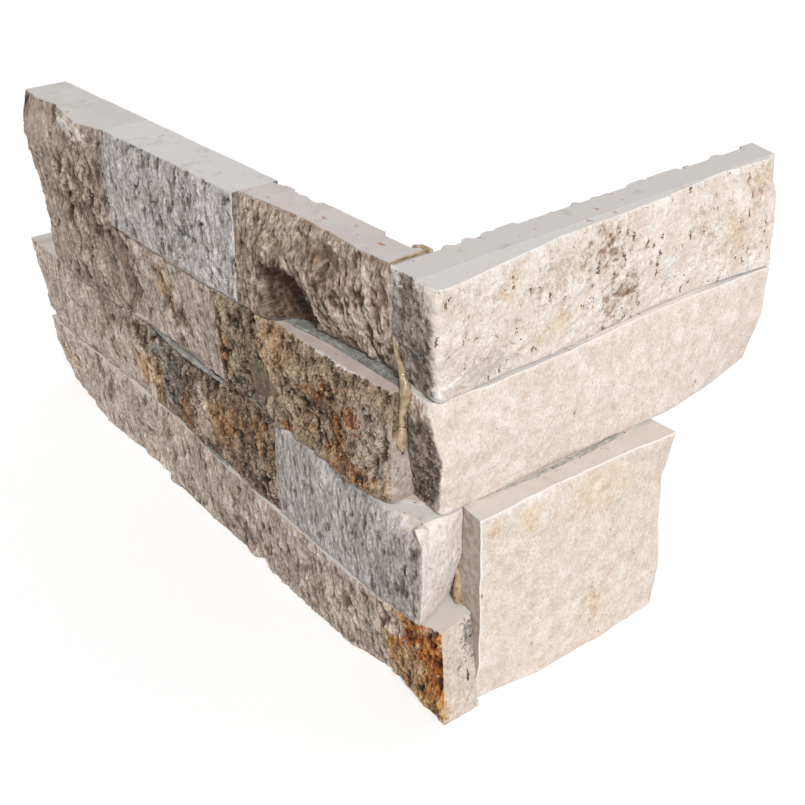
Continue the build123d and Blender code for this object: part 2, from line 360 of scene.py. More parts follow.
def grain_height_group() -> Tree:
    """Build the fine crystal grain of a split face, as a height in millimetres.

    Returns:
        The shader group.
    """
    bench = GroupBench("split grain", {
        "Position": VECTOR, "Grain Size": 0.8, "Upright": 1.5, "Grain Height": 0.2,
    }, ("Height", FLOAT))
    given = bench.given
    place = bench.squeezed(given["Position"], given["Upright"])
    crystals = bench.noise(place, given["Grain Size"], 3.0, 0.68)
    flakes = bench.cells(place, bench.sum("MULTIPLY", given["Grain Size"], 1.9)).outputs["Distance"]
    height = bench.sum("ADD", crystals, bench.sum("MULTIPLY", flakes, 0.7))
    return bench.close(bench.sum("MULTIPLY", height, given["Grain Height"]))


def saw_mark_group() -> Tree:
    """Build the faint marks that the saw leaves, as a height in millimetres.

    Returns:
        The shader group.
    """
    bench = GroupBench("saw marks", {
        "Position": VECTOR, "Spacing": 1.3, "Mark Height": 0.02,
    }, ("Height", FLOAT))
    given = bench.given
    turned = bench.lay(
        "ShaderNodeMapping", {"Vector": given["Position"], "Rotation": (0.12, 0.1, math.radians(12))}
    )
    along = bench.vector("MULTIPLY", turned.outputs[0], (1.0, 0.06, 1.0))
    lines = bench.noise(along, given["Spacing"], 2.0, 0.6)
    dust = bench.noise(given["Position"], 0.35, 1.0)
    height = bench.sum("ADD", lines, bench.sum("MULTIPLY", dust, 0.5))
    return bench.close(bench.sum("MULTIPLY", height, given["Mark Height"]))


class Effects:
    """The shader groups that the finishes share, each built once."""

    def __init__(self) -> None:
        """Build every shared group."""
        self.ground = stone_ground_group()
        self.stain = stain_patch_group()
        self.crust = crust_group()
        self.pores = open_pore_group()
        self.flecks = crystal_fleck_group()
        self.cracks = hair_crack_group()
        self.grain = grain_height_group()
        self.saw = saw_mark_group()


class MaterialBench(Bench):
    """Lays out the nodes of one material with the shared effects."""

    def __init__(self, name: str, effects: Effects) -> None:
        """Make an empty material and read the position in millimetres.

        Args:
            name: the material's name.
            effects: the shared groups.
        """
        self.material = bpy.data.materials.new(name)
        self.material.use_nodes = True
        super().__init__(self.material.node_tree)
        self.tree.nodes.clear()
        self.effects = effects
        spot = self.lay("ShaderNodeTexCoord").outputs["Object"]
        self.place = self.vector("SCALE", spot, 1.0 / METRES)

    def attribute(self, name: str) -> Socket:
        """Read a mesh attribute by name."""
        return self.lay("ShaderNodeAttribute", attribute_name=name).outputs["Fac"]

    def effect(self, group: Tree, **inputs: object) -> Socket:
        """Lay a shared group at the material's position.

        Args:
            group: the shader group.
            inputs: its other inputs, by name in small letters.

        Returns:
            The group's output.
        """
        named = {name.replace("_", " ").title(): value for name, value in inputs.items()}
        return self.lay("ShaderNodeGroup", {"Position": self.place, **named}, node_tree=group).outputs[0]

    def close(self, height: Socket, inputs: dict[str, object]) -> bpy.types.Material:
        """End the material with its fine bumps and its shader.

        Args:
            height: the bumps' height in millimetres.
            inputs: the shader's other inputs.

        Returns:
            The finished material.
        """
        bump = self.lay("ShaderNodeBump", {"Strength": 1.0, "Distance": METRES, "Height": height})
        shader = self.lay("ShaderNodeBsdfPrincipled", {**inputs, "Normal": bump.outputs["Normal"]})
        self.lay("ShaderNodeOutputMaterial", {"Surface": shader.outputs[0]})
        return self.material


@dataclass(frozen=True)
class Crust:
    """The three colours of a stain, from the bottom of its pits to its grains."""

    dark: Colour
    middle: Colour
    light: Colour
    grain: float = 1.6
    stretch: float = 1.0


RUST = Crust(tone(56, 33, 18), tone(136, 82, 40), tone(192, 140, 86), 2.2, 2.2)
EMBER = Crust(tone(74, 40, 22), tone(142, 82, 46), tone(194, 140, 98), 1.5, 2.0)
OCHRE = Crust(tone(140, 96, 46), tone(196, 150, 90), tone(222, 192, 142), 2.0)
UMBER = Crust(tone(80, 62, 48), tone(126, 104, 84), tone(164, 142, 120), 2.2)
# the cavity's own brown tone with painted shade, darker than the stone round it
CAVITY_TONE_AND_SHADE = Crust(tone(54, 40, 30), tone(88, 69, 55), tone(124, 103, 85), 1.5)
BARK = Crust(tone(64, 52, 38), tone(112, 94, 74), tone(160, 142, 118), 1.4)
SOOT = Crust(tone(58, 52, 48), tone(104, 94, 86), tone(156, 142, 130), 1.6)
SLATE = Crust(tone(104, 100, 98), tone(146, 140, 135), tone(186, 178, 170), 1.4)
OLIVE = Crust(tone(88, 78, 62), tone(120, 106, 88), tone(148, 132, 112), 1.2)
CHALK = Crust(tone(206, 192, 178), tone(228, 217, 206), tone(240, 232, 223), 2.2)
BLUSH = Crust(tone(190, 164, 148), tone(212, 188, 172), tone(228, 208, 194), 2.6)
HONEY = Crust(tone(214, 182, 140), tone(228, 206, 176), tone(238, 222, 200), 2.6)
MORTAR = Crust(tone(160, 144, 134), tone(182, 167, 158), tone(204, 191, 183), 2.2)
PLASTER = Crust(tone(212, 200, 193), tone(226, 216, 210), tone(238, 231, 226), 1.6)


class Where(Enum):
    """The sides of a stone that a stain lies on."""

    ANY = "any"
    FACE = "face"
    END = "end"


@dataclass(frozen=True)
class Stain:
    """One stain on a stone: its centre, how far it reaches and what it is made of."""

    centre: Point
    reach: Point
    crust: Crust
    cover: float = 0.9
    ragged: float = 0.6
    fleck: float = 3.0
    where: Where = Where.ANY


@dataclass(frozen=True)
class StoneFinish:
    """The finish of one stone, split and sawn.

    The deep, middle and pale tones are those of the split face. The hollow tone is painted
    shade: it multiplies the colour at the bottom of its scoops, in its creases and where the
    grain is low. The ridge value paints a highlight on the high places.
    """

    slot: str
    deep: Colour
    middle: Colour
    pale: Colour
    sawn: Colour = tone(222, 218, 215)
    end: Colour = tone(190, 176, 164)
    # painted shade: this tone darkens scoops, creases and low grain
    hollow: Colour = tone(150, 130, 112)
    hollow_depth: float = 0.8
    crease_depth: float = 0.6
    ridge_light: float = 0.5
    pore_tone: Colour = tone(112, 82, 54)
    pore_cover: float = 0.05
    pore_size: float = 1.0
    fleck_cover: float = 0.05
    top_pore_cover: float = 0.05
    crack_cover: float = 0.0
    saw_step: tuple[float, float] | None = None
    mottle: float = 9.0
    streak_weight: float = 0.4
    speck_size: float = 0.6
    speck_weight: float = 0.3
    grain_size: float = 0.5
    grain_height: float = 0.42
    grain_shade: float = 0.55
    upright: float = 2.2
    # paleness of the arris: partly wear, partly a painted highlight
    worn_arris: float = 0.6
    seed: float = 0.0
    stains: tuple[Stain, ...] = ()

    def stained(self, bench: MaterialBench, hollow: Socket, colour: Socket) -> Socket:
        """Lay the finish's stains over a colour.

        Args:
            bench: the material's bench.
            hollow: how deep the place lies, from 0 to 1.
            colour: the colour underneath.

        Returns:
            The colour socket.
        """
        wander = bench.swing(bench.noise(bench.place, 3.0, 3.0, 0.6), 0.5, 1.2)
        turn = bench.ramp(bench.sum("ADD", bench.attribute("turn"), wander), 0.3, 0.7)
        for stain in self.stains:
            patch = bench.effect(
                bench.effects.stain, centre=stain.centre, reach=stain.reach, ragged=stain.ragged,
                fleck_size=stain.fleck,
            )
            crust = bench.effect(
                bench.effects.crust, dark=stain.crust.dark, middle=stain.crust.middle,
                light=stain.crust.light, grain_size=stain.crust.grain, stretch=stain.crust.stretch,
                hollow=hollow,
            )
            mask = bench.sum("MULTIPLY", patch, stain.cover)
            if stain.where is Where.END:
                mask = bench.sum("MULTIPLY", mask, turn)
            elif stain.where is Where.FACE:
                mask = bench.sum("MULTIPLY", mask, bench.sum("SUBTRACT", 1.0, turn))
            colour = bench.blend(mask, colour, crust)
        return colour

    def split_colour(self, bench: MaterialBench, hollow: Socket, grain: Socket) -> Socket:
        """Colour of the split face: ground, stains, painted ridge highlight, painted hollow shade and pores.

        Args:
            bench: the material's bench.
            hollow: how deep the place lies, from 0 to 1.
            grain: height of the fine grain.

        Returns:
            The colour socket.
        """
        ground = bench.effect(
            bench.effects.ground, deep=self.deep, middle=self.middle, pale=self.pale,
            mottle_size=self.mottle, streak_weight=self.streak_weight, speck_size=self.speck_size,
            speck_weight=self.speck_weight, seed=self.seed,
        )
        colour = self.stained(bench, hollow, ground)
        crease = bench.attribute("crease")
        # painted highlight: high places are screened towards the pale tone
        high = bench.sum("ADD", bench.ramp(hollow, 0.42, 0.05), bench.ramp(crease, 0.45, 0.1))
        ridge_highlight_mask = bench.sum("MULTIPLY", high, self.ridge_light * 0.6, clamp=True)
        colour = bench.blend(ridge_highlight_mask, colour, bench.blend(0.5, self.pale, colour, "SCREEN"))
        # painted shade: deep scoops, creases and low grain are multiplied by the hollow tone
        hollow_shade_mask = bench.sum("MULTIPLY", bench.ramp(hollow, 0.5, 0.92), self.hollow_depth)
        folded = bench.sum("MULTIPLY", bench.ramp(crease, 0.5, 0.9), self.crease_depth)
        low_grain = bench.ramp(grain, self.grain_height * 0.95, self.grain_height * 0.45)
        shown = bench.sum("MULTIPLY", bench.attribute("rough"), self.grain_shade, clamp=True)
        for mask in (hollow_shade_mask, folded, bench.sum("MULTIPLY", low_grain, shown)):
            colour = bench.blend(mask, colour, self.hollow, "MULTIPLY")
        if self.crack_cover > 0:
            cracks = bench.effect(bench.effects.cracks, cover=self.crack_cover)
            colour = bench.blend(cracks, colour, tone(166, 154, 144), "MULTIPLY")
        pores = self.pores(bench)
        colour = bench.blend(bench.ramp(pores, 0.0, 0.5), colour, bench.blend(0.5, colour, self.pore_tone))
        return bench.blend(bench.ramp(pores, 0.5, 1.0), colour, self.pore_tone)

    def pores(self, bench: MaterialBench) -> Socket:
        """Mask of the open pores of the split face."""
        size, cover, flat = self.pore_size, self.pore_cover, (1.3, 1.3, 0.6)
        return bench.effect(bench.effects.pores, pore_size=size, cover=cover, flatten=flat, seed=self.seed)

    def sawn_colour(self, bench: MaterialBench) -> Socket:
        """Colour of the sawn faces, which are paler and have a few rusty pores.

        Args:
            bench: the material's bench.

        Returns:
            The colour socket.
        """
        place = bench.place
        ends = bench.attribute("end")
        flat = bench.sum("SUBTRACT", 1.0, ends)
        cloud = bench.ramp(bench.noise(place, 14.0, 3.0), 0.38, 0.66)
        vein = bench.noise(bench.vector("MULTIPLY", place, (0.6, 0.6, 1.0)), 6.0, 5.0, 0.7)
        vein = bench.ramp(vein, 0.44, 0.3)
        dust = bench.noise(place, 0.8, 2.0)
        flaw = bench.ramp(bench.noise(place, 2.4, 3.0, 0.6), 0.35, 0.65)
        worn_end = bench.blend(flaw, self.end, bench.blend(0.4, self.end, self.pale))
        shade = bench.blend(ends, self.sawn, worn_end)
        paler = bench.sum("MULTIPLY", bench.sum("MULTIPLY", cloud, 0.4), flat)
        shade = bench.blend(paler, shade, tone(232, 228, 224))
        greyer = bench.sum("MULTIPLY", bench.sum("MULTIPLY", vein, 0.5), flat)
        shade = bench.blend(greyer, shade, tone(214, 208, 204), "MULTIPLY")
        shade = bench.blend(bench.sum("MULTIPLY", dust, 0.25), shade, tone(196, 188, 180), "MULTIPLY")
        if self.saw_step is not None:
            shade = self.saw_line(bench, shade)
        pores = bench.effect(
            bench.effects.pores, pore_size=1.5, cover=self.top_pore_cover, flatten=(0.5, 1.2, 1.0),
            seed=self.seed + 40.0,
        )
        return bench.blend(bench.sum("MULTIPLY", pores, 0.85), shade, tone(176, 132, 96))

    def saw_line(self, bench: MaterialBench, shade: Socket) -> Socket:
        """Paint the step that a second saw cut left along the top of a strip, as a painted highlight and
        painted shade.

        Args:
            bench: the material's bench.
            shade: the colour underneath.

        Returns:
            The colour socket.
        """
        start, slope = self.saw_step
        across = bench.lay("ShaderNodeSeparateXYZ", {0: bench.place})
        line = bench.sum("ADD", start, bench.sum("MULTIPLY", across.outputs[1], slope))
        wobble = bench.noise(bench.place, 12.0, 2.0)
        offset = bench.sum("SUBTRACT", across.outputs[0], bench.sum("ADD", line, wobble))
        # painted shade on one side of the step
        painted_step_shade = bench.sum("MULTIPLY", bench.ramp(offset, 0.1, -0.3), 0.2)
        shade = bench.blend(painted_step_shade, shade, tone(206, 200, 198), "MULTIPLY")
        # painted highlight along the step
        bright = bench.sum("MULTIPLY", bench.ramp(bench.sum("ABSOLUTE", offset), 0.4, 0.1), 0.45)
        return bench.blend(bright, shade, tone(238, 235, 232))

    def material(self, name: str, effects: Effects) -> bpy.types.Material:
        """Build the stone's material.

        Args:
            name: the stone that it dresses.
            effects: the shared groups.

        Returns:
            The material.
        """
        bench = MaterialBench(f"{name} travertine", effects)
        sawn = bench.attribute("sawn")
        grain = bench.effect(
            effects.grain, grain_size=self.grain_size, upright=self.upright, grain_height=self.grain_height
        )
        flecks = bench.effect(effects.flecks, cover=self.fleck_cover)
        shiny = bench.sum("MULTIPLY", flecks, bench.sum("SUBTRACT", 1.0, sawn))
        colour = self.split_colour(bench, bench.attribute("hollow"), grain)
        # painted glint: the crystal flecks are painted paler as well as made less rough
        colour = bench.blend(bench.sum("MULTIPLY", shiny, 0.65), colour, tone(236, 230, 222))
        # pale arris: partly a worn edge, partly a painted highlight along it
        worn_and_highlit_arris = bench.sum("MULTIPLY", bench.ramp(bench.attribute("arris"), 0.4, 0.95), self.worn_arris)
        colour = bench.blend(worn_and_highlit_arris, colour, tone(242, 239, 236))
        colour = bench.blend(sawn, colour, self.sawn_colour(bench))

        dug = bench.sum("MULTIPLY", self.pores(bench), -0.5)
        split_share = bench.sum("MULTIPLY", bench.attribute("end"), 0.8)
        flat = bench.sum("MULTIPLY", sawn, bench.sum("SUBTRACT", 1.0, split_share))
        calm = bench.ramp(bench.attribute("rough"), -0.05, 1.0, smooth=False)
        split_height = bench.sum("ADD", bench.sum("MULTIPLY", grain, calm), dug)
        dull = bench.ramp(bench.noise(bench.place, 1.1, 2.0), 0.3, 0.8)
        return bench.close(bench.between(flat, split_height, bench.effect(effects.saw)), {
            "Base Color": colour,
            "Roughness": bench.between(shiny, bench.between(dull, 0.8, 0.95), 0.4),
            "Specular IOR Level": 0.3,
        })


@dataclass(frozen=True)
class GlueFinish:
    """The finish of a cured glue: matt adhesive or slightly shiny resin.

    The dusty tone covers it where x + y is above the dusty_from value, which for a bed
    that runs round the corner is the return leg.
    """

    slot: str
    dull: Colour
    bright: Colour
    roughness: float
    coat: float
    bump_height: float
    speck_size: float
    hole_cover: float = 0.0
    hole: Colour = tone(70, 66, 62)
    dusty: Colour | None = None
    dusty_from: float = -4.0

    def colour(self, bench: MaterialBench, cloud: Socket, speck: Socket) -> Socket:
        """Colour of the glue with its clouds, holes and dust.

        Args:
            bench: the material's bench.
            cloud: soft noise.
            speck: fine noise.

        Returns:
            The colour socket.
        """
        colour = bench.blend(bench.ramp(cloud, 0.32, 0.68), self.dull, self.bright)
        colour = bench.blend(bench.ramp(speck, 0.64, 0.76), colour, self.dull, "MULTIPLY")
        if self.dusty is not None:
            axes = bench.lay("ShaderNodeSeparateXYZ", {0: bench.place})
            along = bench.sum("ADD", axes.outputs[0], axes.outputs[1])
            settled = bench.sum("ADD", along, bench.sum("MULTIPLY", cloud, 10.0))
            mask = bench.ramp(settled, self.dusty_from, self.dusty_from + 8.0)
            colour = bench.blend(bench.sum("MULTIPLY", mask, 0.9), colour, self.dusty)
        if self.hole_cover > 0:
            holes = bench.effect(bench.effects.pores, pore_size=0.9, cover=self.hole_cover)
            colour = bench.blend(holes, colour, self.hole)
        return colour

    def material(self, name: str, effects: Effects) -> bpy.types.Material:
        """Build the glue's material.

        Args:
            name: what to call it.
            effects: the shared groups.

        Returns:
            The material.
        """
        bench = MaterialBench(name, effects)
        cloud = bench.noise(bench.place, 2.6, 3.0)
        speck = bench.noise(bench.place, self.speck_size, 2.0)
        height = bench.sum("MULTIPLY", bench.sum("ADD", cloud, speck), self.bump_height)
        return bench.close(height, {
            "Base Color": self.colour(bench, cloud, speck),
            "Roughness": self.roughness,
            "Coat Weight": self.coat,
        })


ADHESIVE = GlueFinish(
    "adhesive_grey", tone(124, 124, 119), tone(168, 169, 164), 0.8, 0.0, 0.2, 0.8,
    hole_cover=0.4, dusty=tone(222, 212, 203),
)
DUSTY_ADHESIVE = replace(ADHESIVE, dusty=tone(214, 203, 193), dusty_from=-400.0)
GREEN_ADHESIVE = replace(ADHESIVE, dull=tone(142, 140, 130), bright=tone(182, 180, 170), dusty=None)
RESIN = GlueFinish("resin_amber", tone(144, 121, 91), tone(190, 168, 135), 0.36, 0.2, 0.06, 1.4)


class Leg(Enum):
    """The two legs of the corner, each with the direction that its split face looks in."""

    LONG = (0.0, -1.0)
    RETURN = (1.0, 0.0)

    def corners(self, outline: np.ndarray) -> list[int]:
        """Find the four corners of a strip's plan outline.

        Args:
            outline: points of the outline, counterclockwise.

        Returns:
            The places in the outline of the first and last point of the split face, and of
            the last and first point of the back, counterclockwise.
        """
        x, y = outline[:, 0], outline[:, 1]
        if self is Leg.LONG:
            reaches = (-x - y, x - y, x + y, y - x)
        else:
            reaches = (x - y, x + y, y - x, -x - y)
        return [int(np.argmax(reach)) for reach in reaches]

    @property
    def run_axis(self) -> int:
        """Axis along which the leg runs: 0 for x, 1 for y."""
        return 0 if self is Leg.LONG else 1


class Side(Enum):
    """The four upright sides of a strip, counterclockwise from the split face."""

    FACE = 0
    FAR_END = 1
    BACK = 2
    NEAR_END = 3


@dataclass(frozen=True)
class Relief:
    """How a face split: heights and sizes of its lumps, scoops, pits and grain."""

    lump_height: float = 0.6
    lump_size: float = 8.0
    scoop_height: float = 1.4
    scoop_size: float = 4.4
    upright: float = 2.0
    pit_depth: float = 0.8
    pit_size: float = 2.0
    pit_cover: float = 0.24
    grain_height: float = 0.5
    grain_size: float = 1.7
    chip_depth: float = 0.35
    chip_length: float = 7.0
    seed: float = 0.0

    def inputs(self) -> dict[str, float]:
        """Give the sizes under the names of the tree's inputs."""
        return {name.replace("_", " ").title(): value for name, value in vars(self).items()}


@dataclass(frozen=True)
class Dent:
    """A place where the face lies deeper, or is smoother or rougher than the rest."""

    centre: Point
    reach: Point
    depth: float = 0.0
    rough: float = 1.0
    steep: float = 1.25
    rim: float = 0.8

    def weight(self, points: np.ndarray) -> np.ndarray:
        """Tell how much the dent counts at each point.

        Args:
            points: the points.

        Returns:
            A weight for each point, 1 in the middle and 0 outside, one half at the rim.
        """
        distance = np.linalg.norm((points - np.array(self.centre)) / np.array(self.reach), axis=1)
        share = np.clip(0.5 + self.steep * (self.rim - distance), 0.0, 1.0)
        return share * share * (3 - 2 * share)


class GeometryBench(GroupBench):
    """Lays out a Geometry Nodes tree that makes one shape with a finish."""

    def __init__(self, name: str, sizes: dict[str, float]) -> None:
        """Make a tree that takes a geometry, its sizes and a finish.

        Args:
            name: the tree's name.
            sizes: its sizes by name, each with the number that it starts from.
        """
        inputs = {"Geometry": GEOMETRY, **sizes, "Finish": MATERIAL}
        super().__init__(name, inputs, ("Geometry", GEOMETRY), "GeometryNodeTree")

    def read(self, name: str, kind: str = "FLOAT") -> Socket:
        """Read a mesh attribute by name."""
        return self.lay("GeometryNodeInputNamedAttribute", {"Name": name}, data_type=kind).outputs[0]

    def position(self) -> Socket:
        """Position in millimetres, moved by the seed so that no two patterns are the same."""
        spot = self.lay("GeometryNodeInputPosition").outputs[0]
        return self.vector("ADD", self.vector("SCALE", spot, 1.0 / METRES), self.given["Seed"])

    def store(self, geometry: Socket, name: str, value: Socket) -> Socket:
        """Store a number on every point of a geometry."""
        inputs, kind = {"Geometry": geometry, "Name": name, "Value": value}, "GeometryNodeStoreNamedAttribute"
        return self.lay(kind, inputs, data_type="FLOAT", domain="POINT").outputs[0]

    def close(self, value: Socket) -> Tree:
        """Make the shape real, give it the finish and end the tree.

        Args:
            value: the shape that the tree has made.

        Returns:
            The finished tree.
        """
        real = self.lay("GeometryNodeRealizeInstances", {0: value}).outputs[0]
        dressing = {"Geometry": real, "Material": self.given["Finish"]}
        return super().close(self.lay("GeometryNodeSetMaterial", dressing).outputs[0])


class ReliefBench(GeometryBench):
    """Lays out the tree that splits a stone's face and chips its back edge."""

    def __init__(self) -> None:
        """Make the tree, with the bent position and the patches that its patterns share."""
        super().__init__("split stone face", Relief().inputs())
        self.place = self.position()
        self.tall = self.squeezed(self.place, self.given["Upright"])
        size = self.given["Scoop Size"]
        drift = self.noise(self.tall, size, 2.0, 0.6, output="Color")
        drift = self.vector("SCALE", self.vector("SUBTRACT", drift, (0.5, 0.5, 0.5)), size)
        self.bent = self.vector("ADD", self.tall, self.vector("SCALE", drift, 1.6))
        patch = self.ramp(self.noise(self.place, self.sum("MULTIPLY", size, 2.6)), 0.25, 0.75)
        self.patchy = self.between(patch, 0.5, 2.2)

    def lumps(self) -> Socket:
        """Height of the broad swells of the face."""
        height = self.sum("MULTIPLY", self.given["Lump Height"], 3.0)
        return self.swing(self.noise(self.place, self.given["Lump Size"], 2.0, 0.5), 0.5, height)

    def scoops(self) -> Socket:
        """Height of the wide scoops with narrow ones among them.

        Returns:
            The height, in millimetres.
        """
        size, height = self.given["Scoop Size"], self.given["Scoop Height"]
        wide = self.swing(self.cells(self.bent, size).outputs["Distance"], 0.5, height)
        narrow = self.cells(self.bent, self.sum("MULTIPLY", size, 0.45)).outputs["Distance"]
        narrow = self.swing(narrow, 0.5, self.sum("MULTIPLY", height, 0.4))
        return self.sum("MULTIPLY", self.sum("ADD", wide, narrow), self.patchy)

    def grain(self) -> Socket:
        """Height of the sharp little ridges, made of a coarse and a fine pattern.

        Returns:
            The height, in millimetres.
        """
        size = self.given["Grain Size"]
        ridged = 0.0
        for scale, weight in ((1.0, 1.0), (0.55, 0.35)):
            pattern = self.noise(self.tall, self.sum("MULTIPLY", size, scale), 1.0, 0.5)
            fold = self.sum("ABSOLUTE", self.sum("SUBTRACT", pattern, 0.5))
            ridged = self.sum("ADD", ridged, self.sum("MULTIPLY", fold, weight))
        return self.swing(ridged, 0.115, self.sum("MULTIPLY", self.given["Grain Height"], -5.0))

    def pits(self) -> Socket:
        """Depth of the pits, which gather where the scoops are deepest.

        Returns:
            The depth, in millimetres.
        """
        pit = self.cells(self.bent, self.given["Pit Size"])
        pick = self.lay("FunctionNodeSeparateColor", {"Color": pit.outputs["Color"]}).outputs[0]
        chosen = self.sum("LESS_THAN", pick, self.sum("MULTIPLY", self.given["Pit Cover"], self.patchy))
        hole = self.sum("MULTIPLY", self.ramp(pit.outputs["Distance"], 0.55, 0.2), chosen)
        return self.sum("MULTIPLY", hole, self.given["Pit Depth"])

    def chips(self) -> Socket:
        """Depth of the chips and the small nibbles along the back edge.

        Returns:
            The depth, in millimetres.
        """
        length, depth = self.given["Chip Length"], self.given["Chip Depth"]
        steps = self.ramp(self.noise(self.place, length, 2.0, 0.7), 0.46, 0.54)
        nibble = self.noise(self.place, self.sum("MULTIPLY", length, 0.22), 2.0)
        nibble = self.sum("MULTIPLY", nibble, self.sum("MULTIPLY", depth, 0.45))
        chip = self.sum("ADD", self.sum("MULTIPLY", steps, depth), nibble)
        return self.sum("MULTIPLY", chip, self.read("back_edge"))

    def build(self) -> Tree:
        """Move the points and store how deep and how creased each place is.

        Returns:
            The node tree, with one named input for each size.
        """
        calm, scoop, grain, hole = self.read("rough"), self.scoops(), self.grain(), self.pits()
        relief = self.sum("SUBTRACT", self.sum("ADD", scoop, grain), hole)
        relief = self.sum("MULTIPLY", relief, calm)
        height = self.sum("ADD", relief, self.sum("MULTIPLY", self.lumps(), self.read("split")))
        lift = self.vector("SCALE", self.read("push", "FLOAT_VECTOR"), self.sum("MULTIPLY", height, METRES))
        inset = self.sum("MULTIPLY", self.chips(), METRES)
        inset = self.vector("SCALE", self.read("inset", "FLOAT_VECTOR"), inset)

        usual = self.sum("ADD", self.sum("MULTIPLY", self.given["Scoop Height"], 0.55), 0.05)
        scooped = self.sum("MULTIPLY", self.sum("SUBTRACT", scoop, hole), calm)
        hollow = self.ramp(self.sum("DIVIDE", scooped, usual), 1.0, -1.0, smooth=False)
        folded = self.sum("DIVIDE", self.sum("MULTIPLY", grain, calm), self.given["Grain Height"])
        stored = self.store(self.given["Geometry"], "hollow", hollow)
        stored = self.store(stored, "crease", self.ramp(folded, 0.65, -0.7, smooth=False))
        offset = self.vector("ADD", lift, inset)
        moved = self.lay("GeometryNodeSetPosition", {"Geometry": stored, "Offset": offset})
        return self.close(moved.outputs[0])


def bead_tree() -> Tree:
    """Build the Geometry Nodes tree that runs a lumpy bead of glue along a curve.

    Returns:
        The node tree, with one named input for each size.
    """
    bench = GeometryBench("squeezed bead", {
        "Width": 1.5, "Height": 0.5, "Step": 0.6, "Lump Height": 0.3, "Lump Size": 2.5, "Seed": 0.0,
    })
    size = bench.given
    level = bench.lay("GeometryNodeSetCurveNormal", {"Curve": size["Geometry"]}, mode="Z_UP")
    line = bench.lay(
        "GeometryNodeResampleCurve",
        {"Curve": level.outputs[0], "Length": bench.sum("MULTIPLY", size["Step"], METRES)},
        mode="LENGTH",
    )
    ring = bench.lay("GeometryNodeCurvePrimitiveCircle", {"Resolution": 16, "Radius": METRES})
    flat = bench.lay("ShaderNodeCombineXYZ", {0: size["Height"], 1: size["Width"], 2: 1.0})
    oval = bench.lay("GeometryNodeTransform", {"Geometry": ring.outputs[0], "Scale": flat.outputs[0]})
    tube = bench.lay(
        "GeometryNodeCurveToMesh",
        {"Curve": line.outputs[0], "Profile Curve": oval.outputs[0], "Fill Caps": True},
    )
    radius = bench.lay("GeometryNodeInputRadius").outputs[0]
    if "Scale" in tube.inputs:
        bench.feed(tube.inputs["Scale"], radius)
    lump = bench.noise(bench.position(), size["Lump Size"], 2.0, 0.6)
    swell = bench.swing(lump, 0.5, bench.sum("MULTIPLY", size["Lump Height"], 3.0))
    normal = bench.lay("GeometryNodeInputNormal").outputs[0]
    offset = bench.vector("SCALE", normal, bench.sum("MULTIPLY", swell, METRES))
    moved = bench.lay("GeometryNodeSetPosition", {"Geometry": tube.outputs[0], "Offset": offset})
    smooth = bench.lay("GeometryNodeSetShadeSmooth", {0: moved.outputs[0]})
    return bench.close(smooth.outputs[0])


def add_object(name: str, data: bpy.types.ID) -> Piece:
    """Make an object and put it in the scene.

    Args:
        name: its name.
        data: its mesh, curve, camera or light.

    Returns:
        The object.
    """
    made = bpy.data.objects.new(name, data)
    bpy.context.scene.collection.objects.link(made)
    return made


@contextmanager
def mesh_edit(mesh: bpy.types.Mesh) -> Iterator[bmesh.types.BMesh]:
    """Open a mesh for editing, and write it back afterwards.

    Args:
        mesh: the mesh to edit.

    Yields:
        The mesh in its editable form.
    """
    edit = bmesh.new()
    edit.from_mesh(mesh)
    yield edit
    edit.to_mesh(mesh)
    edit.free()


def apply_tree(maker: Piece, tree: Tree, values: dict[str, object], name: str) -> Piece:
    """Run a Geometry Nodes tree on an object and keep the result as a plain mesh.

    Args:
        maker: the object that the tree starts from, which is removed afterwards.
        tree: the Geometry Nodes tree.
        values: its inputs by name.
        name: the finished piece's name.

    Returns:
        The finished piece, with no modifier.
    """
    modifier = maker.modifiers.new("shape", "NODES")
    modifier.node_group = tree
    for item in tree.interface.items_tree:
        if item.item_type == "SOCKET" and item.in_out == "INPUT" and item.name in values:
            modifier[item.identifier] = values[item.name]
    bpy.context.view_layer.update()
    graph = bpy.context.evaluated_depsgraph_get()
    mesh = bpy.data.meshes.new_from_object(maker.evaluated_get(graph))
    maker.modifiers.remove(modifier)
    bpy.data.objects.remove(maker)
    mesh.name = name
    return add_object(name, mesh)


